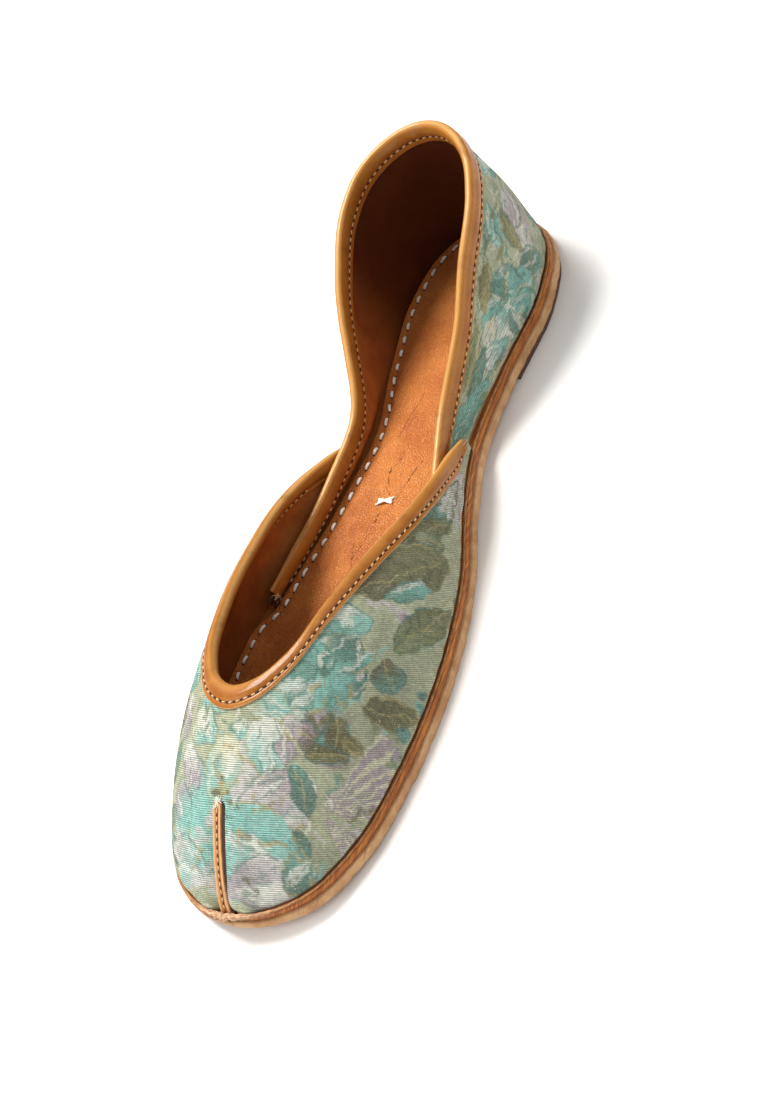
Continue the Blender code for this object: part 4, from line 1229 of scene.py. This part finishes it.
def rim(name, wall, outer_foot, inner_foot, outer_seam, inner_seam, bead):
    """A folded strip: outer leg, a bead over the wall's edge, inner leg, then its hidden side.

    The bead is half a circle of radius bead, from the outer face to the inner; the feet are
    heights above the foot, and the seams are shares of the legs.
    """
    half = WALL_THICKNESS / 2
    end = full(wall)
    inner = leg_of(wall, inner_foot)
    outer = np.maximum(leg_of(wall, outer_foot) * (NARROWED + (1 - NARROWED) * end), GAP)
    one = np.ones_like(outer)
    angle = np.radians(np.linspace(0, 180, 13))[None]
    size = bead * (0.48 + 0.52 * end)
    outer_down, outer_out = leg_rows(outer, outer_seam, end)
    inner_down, inner_out = leg_rows(inner, inner_seam, end)
    down = np.concatenate([
        outer_down, -0.0002 - size * np.sin(angle), inner_down[:, ::-1],
        inner * [0.6, 0.2], one * [-0.0002, -0.0002], outer * [0.2, 0.6],
    ], axis=1)
    out = np.concatenate([
        outer_out, size * np.cos(angle) - half, -2 * half - inner_out[:, ::-1],
        one * [-2 * half, -2 * half], one * [-2 * half, 0.0], one * [0.0, 0.0],
    ], axis=1)
    grid, _ = wall.at(down, out)
    # The seam rows are darkened with painted shade in the stitch groove.
    leg_tone = ["cut"] * 3 + ["leg"] * 3 + ["seam"] + ["leg"] * 2 + ["dome"] * 3
    # The bead's middle rows carry a painted highlight over the worn crest.
    bead_tone = ["bead"] * 4 + ["worn_sheen"] + ["worn_crest_highlight"] * 3 + ["worn_sheen"] + ["bead"] * 4
    tones = leg_tone + bead_tone + leg_tone[::-1] + ["inner"] * 6
    tint = np.zeros_like(grid) + np.array([BINDING_TONES[tone] for tone in tones])
    return skin(name, grid, golden, caps=True, tint=tint)


COLLAR_FOOT = JOIN_HEIGHT + WALL_THICKNESS / 2
THROAT_SEAMS = (0.65, 0.70)    # shares of the outer and the inner leg where the stitches run
COLLAR_SEAMS = (0.78, 0.62)
THROAT_BEAD, COLLAR_BEAD = 0.00165, 0.0015

throat_rim = rim("throat_rim", VAMP, 2 * GAP, JOIN_HEIGHT, *THROAT_SEAMS, THROAT_BEAD)
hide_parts("throat_binding")
collar_rim = rim("collar_rim", QUARTER, COLLAR_FOOT, BARE_LINING, *COLLAR_SEAMS, COLLAR_BEAD)
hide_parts("collar_binding")

golden_thread = Finish("golden_thread", Roughness=0.6)
twist = golden_thread.noise(3000.0, 2.0, 0.5)
golden_thread.colour((0.42, 0.21, 0.07), (twist, (0.84, 0.62, 0.34)))

STITCH_OUT = 0.00056
EDGE_PITCH = 0.0025
EDGE_STITCH = (0.0014, 0.00048, 0.3, 1.0, 0.12)    # length, thickness, arch, flatness, tilt
EDGE_HOLE = (0.00145, 0.00072, 0.08, 0.45, -0.25)


def sew(name, line, facing, pitch, stitch, hole):
    """A row of golden stitches along a line, and dark patches of painted shade for the holes between
    them.
    """
    threads(name + "_thread", *spaced(line, facing, pitch), golden_thread, "binding_leather", *stitch)
    threads(name + "_hole_shade", *spaced(line, facing, pitch, 1.0), shade_patch, "binding_leather", *hole)


def sew_leg(name, wall, leg, share, out, skipped):
    """Stitches at a share of a binding's leg, at a level out, with ribs skipped at both ends."""
    line, normal = wall.at(leg * share, out)
    facing = normal[skipped:-skipped, 0] * np.sign(out + WALL_THICKNESS / 2)
    sew(name, line[skipped:-skipped, 0], facing, EDGE_PITCH, EDGE_STITCH, EDGE_HOLE)


throat_leg = leg_of(VAMP, 2 * GAP) * (NARROWED + (1 - NARROWED) * full(VAMP))
collar_inner = leg_of(QUARTER, BARE_LINING)
within = -WALL_THICKNESS - STITCH_OUT
sew_leg("throat_outer", VAMP, throat_leg, THROAT_SEAMS[0], STITCH_OUT, 18)
sew_leg("throat_inner", VAMP, leg_of(VAMP, JOIN_HEIGHT), THROAT_SEAMS[1], within, 60)
sew_leg("collar_outer", QUARTER, leg_of(QUARTER, COLLAR_FOOT), COLLAR_SEAMS[0], STITCH_OUT, 110)
sew_leg("collar_inner", QUARTER, collar_inner, COLLAR_SEAMS[1], within, 12)

# Each end of the quarter inside the vamp is torn: loose strands, over holes painted as dark patches of
# shade.
TORN_STRAND = (0.0028, 0.00032, 0.3)
TORN_HOLE = (0.0030, 0.0022, 0.0, 0.35)

torn, torn_facing = QUARTER.at(collar_inner * np.linspace(0.1, 0.95, 12), -WALL_THICKNESS - 0.0007)
spots = np.concatenate([torn[0], torn[-1]])
facing = np.concatenate([torn_facing[0], torn_facing[-1]])
ahead = unit(np.concatenate([torn[0] - torn[6], torn[-1] - torn[-7]]))
loose = np.random.default_rng(11)
strand = unit(ahead + loose.normal(0, 0.4, ahead.shape))
threads("torn_wing_strands", spots + 0.0004 * ahead, strand, facing, golden_thread, "binding_leather",
        *TORN_STRAND)
holed = [5, 9, 17, 21]
threads("torn_wing_hole_shade", spots[holed] + 0.0012 * ahead[holed], ahead[holed], facing[holed],
        shade_patch, "binding_leather", *TORN_HOLE)


# TOE STRIP. A narrow strip of the same leather glued over the vamp's seam, sewn down its
# middle, narrowed and torn at the top; beside it the two edges of cloth leave a slit, shown
# as a dark strip of painted shade.
STRIP_WIDTH = 0.0034
STRIP_LENGTH = 0.031
STRIP_STATIONS = 120
STRIP_PITCH = 0.0022
STRIP_STITCH = (0.0012, 0.00042, 0.3, 1.0, 0.1)
STRIP_HOLE = (0.0010, 0.00058, 0.05, 0.45, -0.2)
# The dark colour at the strip's middle is painted shade in the sewn groove.
STRIP_HALF = (
    # across (share of half the width), out, colour, from the left edge to the middle
    (-1.0, -0.0004, (0.30, 0.12, 0.04)), (-1.02, 0.0006, (0.52, 0.28, 0.13)),
    (-0.92, 0.00098, (0.62, 0.36, 0.18)), (-0.6, 0.00100, (0.58, 0.29, 0.11)),
    (-0.25, 0.00082, (0.36, 0.14, 0.04)), (0.0, 0.00072, (0.16, 0.05, 0.012)),
)
STRIP_ROWS = STRIP_HALF + tuple((-across, out, tone) for across, out, tone in STRIP_HALF[-2::-1])
SLIT_ROWS = ((-1.0, -0.0003), (-0.8, 0.0005), (0.8, 0.0005), (1.0, -0.0003))

strip_down = np.linspace(VAMP.tall[RIDGE] + 0.0003, VAMP.tall[RIDGE] - STRIP_LENGTH, STRIP_STATIONS)
ridge_line, ridge_facing = (field[RIDGE] for field in VAMP.at(strip_down[None], 0.0))


def ribbon(name, width, profile, finish, shift=0.0, tint=None):
    """A ribbon along the ridge: (across, out) rows of a closed section, scaled by a width."""
    across = np.array([row[0] for row in profile])[None] * width[:, None] + np.reshape(shift, (-1, 1))
    out = np.array([row[1] for row in profile])[None, :, None] * ridge_facing[:, None]
    grid = ridge_line[:, None] + out
    grid[..., 0] += across
    tint = None if tint is None else np.zeros_like(grid) + np.array(tint)
    return skin(name, grid, finish, caps=True, tint=tint)


climb = np.linspace(0, 1, STRIP_STATIONS)
strip_width = STRIP_WIDTH / 2 * (1.05 - 0.28 * climb) * (1 - 0.75 * ease((climb - 0.965) / 0.035))
strip_width = strip_width + wobble(climb * STRIP_LENGTH, 0.00012, 21)
strip_tint = [tone for _, _, tone in STRIP_ROWS]
strip = ribbon("sewn_toe_strip", strip_width, STRIP_ROWS, golden, tint=strip_tint)
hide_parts("toe_strip")

slit_width = 0.0007 * ease(climb / 0.02) * ease((1 - climb) / 0.5) + 0.0003
# The slit is a dark strip of painted shade.
slit = ribbon("slit_shade", slit_width, SLIT_ROWS, shade_patch, strip_width + 0.00055)

sew("toe_strip", ridge_line[4:-6] + ridge_facing[4:-6] * 0.00078, ridge_facing[4:-6], STRIP_PITCH,
    STRIP_STITCH, STRIP_HOLE)

# Its torn top end leaves a tuft of pale strands.
FRAYED = 14

loose = np.random.default_rng(12)
frayed = ridge_line[-3] + ridge_facing[-3] * 0.0007 + loose.normal(0, 0.0005, (FRAYED, 3))
strand = unit(np.stack([loose.normal(0, 0.6, FRAYED), np.ones(FRAYED),
                        loose.normal(0.3, 0.25, FRAYED)], axis=1))
threads("toe_strip_frayed_end", frayed, strand, ridge_facing[-3], white_thread, "binding_leather",
        0.0032, 0.00026, 0.6)


# SOLE SEAM. A pale cut edge of lining shows all round between the cloth and the stained
# welt, and at the toe's tip it is left long, folded and frayed.
raw = Finish("raw_lining_edge", Roughness=0.8)
fray = raw.streaks(raw.lay(), (500.0, 1600.0, 1.0), 4.0, 0.65)
raw.colour(raw.tint(), (fray.step(0.35, 0.65) * 0.75, (0.14, 0.045, 0.012)))
raw.relief(fray, 0.0004)

SEAM_STATIONS = 900
FRAY_REACH = 0.012         # along the seam to either side of the toe's tip
SEAM_TONES = np.array([(0.50, 0.24, 0.09), (0.74, 0.47, 0.29)])    # all round, and at the tip

seam_share = np.linspace(0.0, 1.0, SEAM_STATIONS)
both = np.concatenate([seam_share, seam_share[-2:0:-1]])
seam_side = np.concatenate([np.ones(SEAM_STATIONS), -np.ones(SEAM_STATIONS - 2)])
seam_line = on_line(inset_line(UPPER_SETBACK - 0.0002), both)
seam_run = both * FOOT_LENGTH * seam_side
tip = bell(seam_run, 0, FRAY_REACH)
ragged = np.abs(wobble(seam_run, 0.0009, 31)) * tip
crumple = np.abs(np.sin(seam_run / 0.0011 + 2.5 * np.sin(seam_run / 0.0031))) * tip
seam_radius = 0.00038 + 0.00005 * wobble(seam_run, 1.0, 33) + 0.00035 * tip
seam_radius = seam_radius + 0.5 * ragged + 0.0003 * crumple
seam_turn = np.linspace(0, 2 * np.pi, 10)[:-1]
outward = on_line(AHEAD, both) * (1, -1)
level_out = np.stack([seam_side * outward[:, 0], outward[:, 1], 0 * seam_side], axis=1)
center = np.stack([seam_side * seam_line[:, 1], seam_line[:, 0],
                   rise(seam_line[:, 0]) + FOOT_LEVEL + 0.0001 + 0.0007 * tip], axis=1)
push = (np.cos(seam_turn)[None] * seam_radius[:, None] + (0.0007 * tip + ragged)[:, None])[..., None]
seam_grid = center[:, None] + push * level_out[:, None]
seam_grid[..., 2] += np.sin(seam_turn)[None] * seam_radius[:, None] * 0.9
seam_grid = np.concatenate([seam_grid, seam_grid[:1]])
share = np.concatenate([tip, tip[:1]])[:, None, None]
seam_tint = SEAM_TONES[0] * (1 - share) + SEAM_TONES[1] * share
pale_seam = skin("pale_seam_edge", seam_grid, raw, merge=True, tint=seam_tint + 0 * seam_grid)


# FLOOR. A plain white table, wide enough for every view. It is no part of the shoe, and
# only takes its shadow.
TABLE_HALF = 3

white = Finish("white_table", Roughness=0.9, Base_Color=(0.93, 0.93, 0.93, 1.0))
table_mesh = bpy.data.meshes.new("white_table")
corners = [(x * TABLE_HALF, y * TABLE_HALF, 0) for x, y in ((-1, -1), (1, -1), (1, 1), (-1, 1))]
table_mesh.from_pydata(corners, [], [(0, 1, 2, 3)])
table_mesh.materials.append(white.material)
table = bpy.data.objects.new("white_table", table_mesh)
bpy.context.collection.objects.link(table)
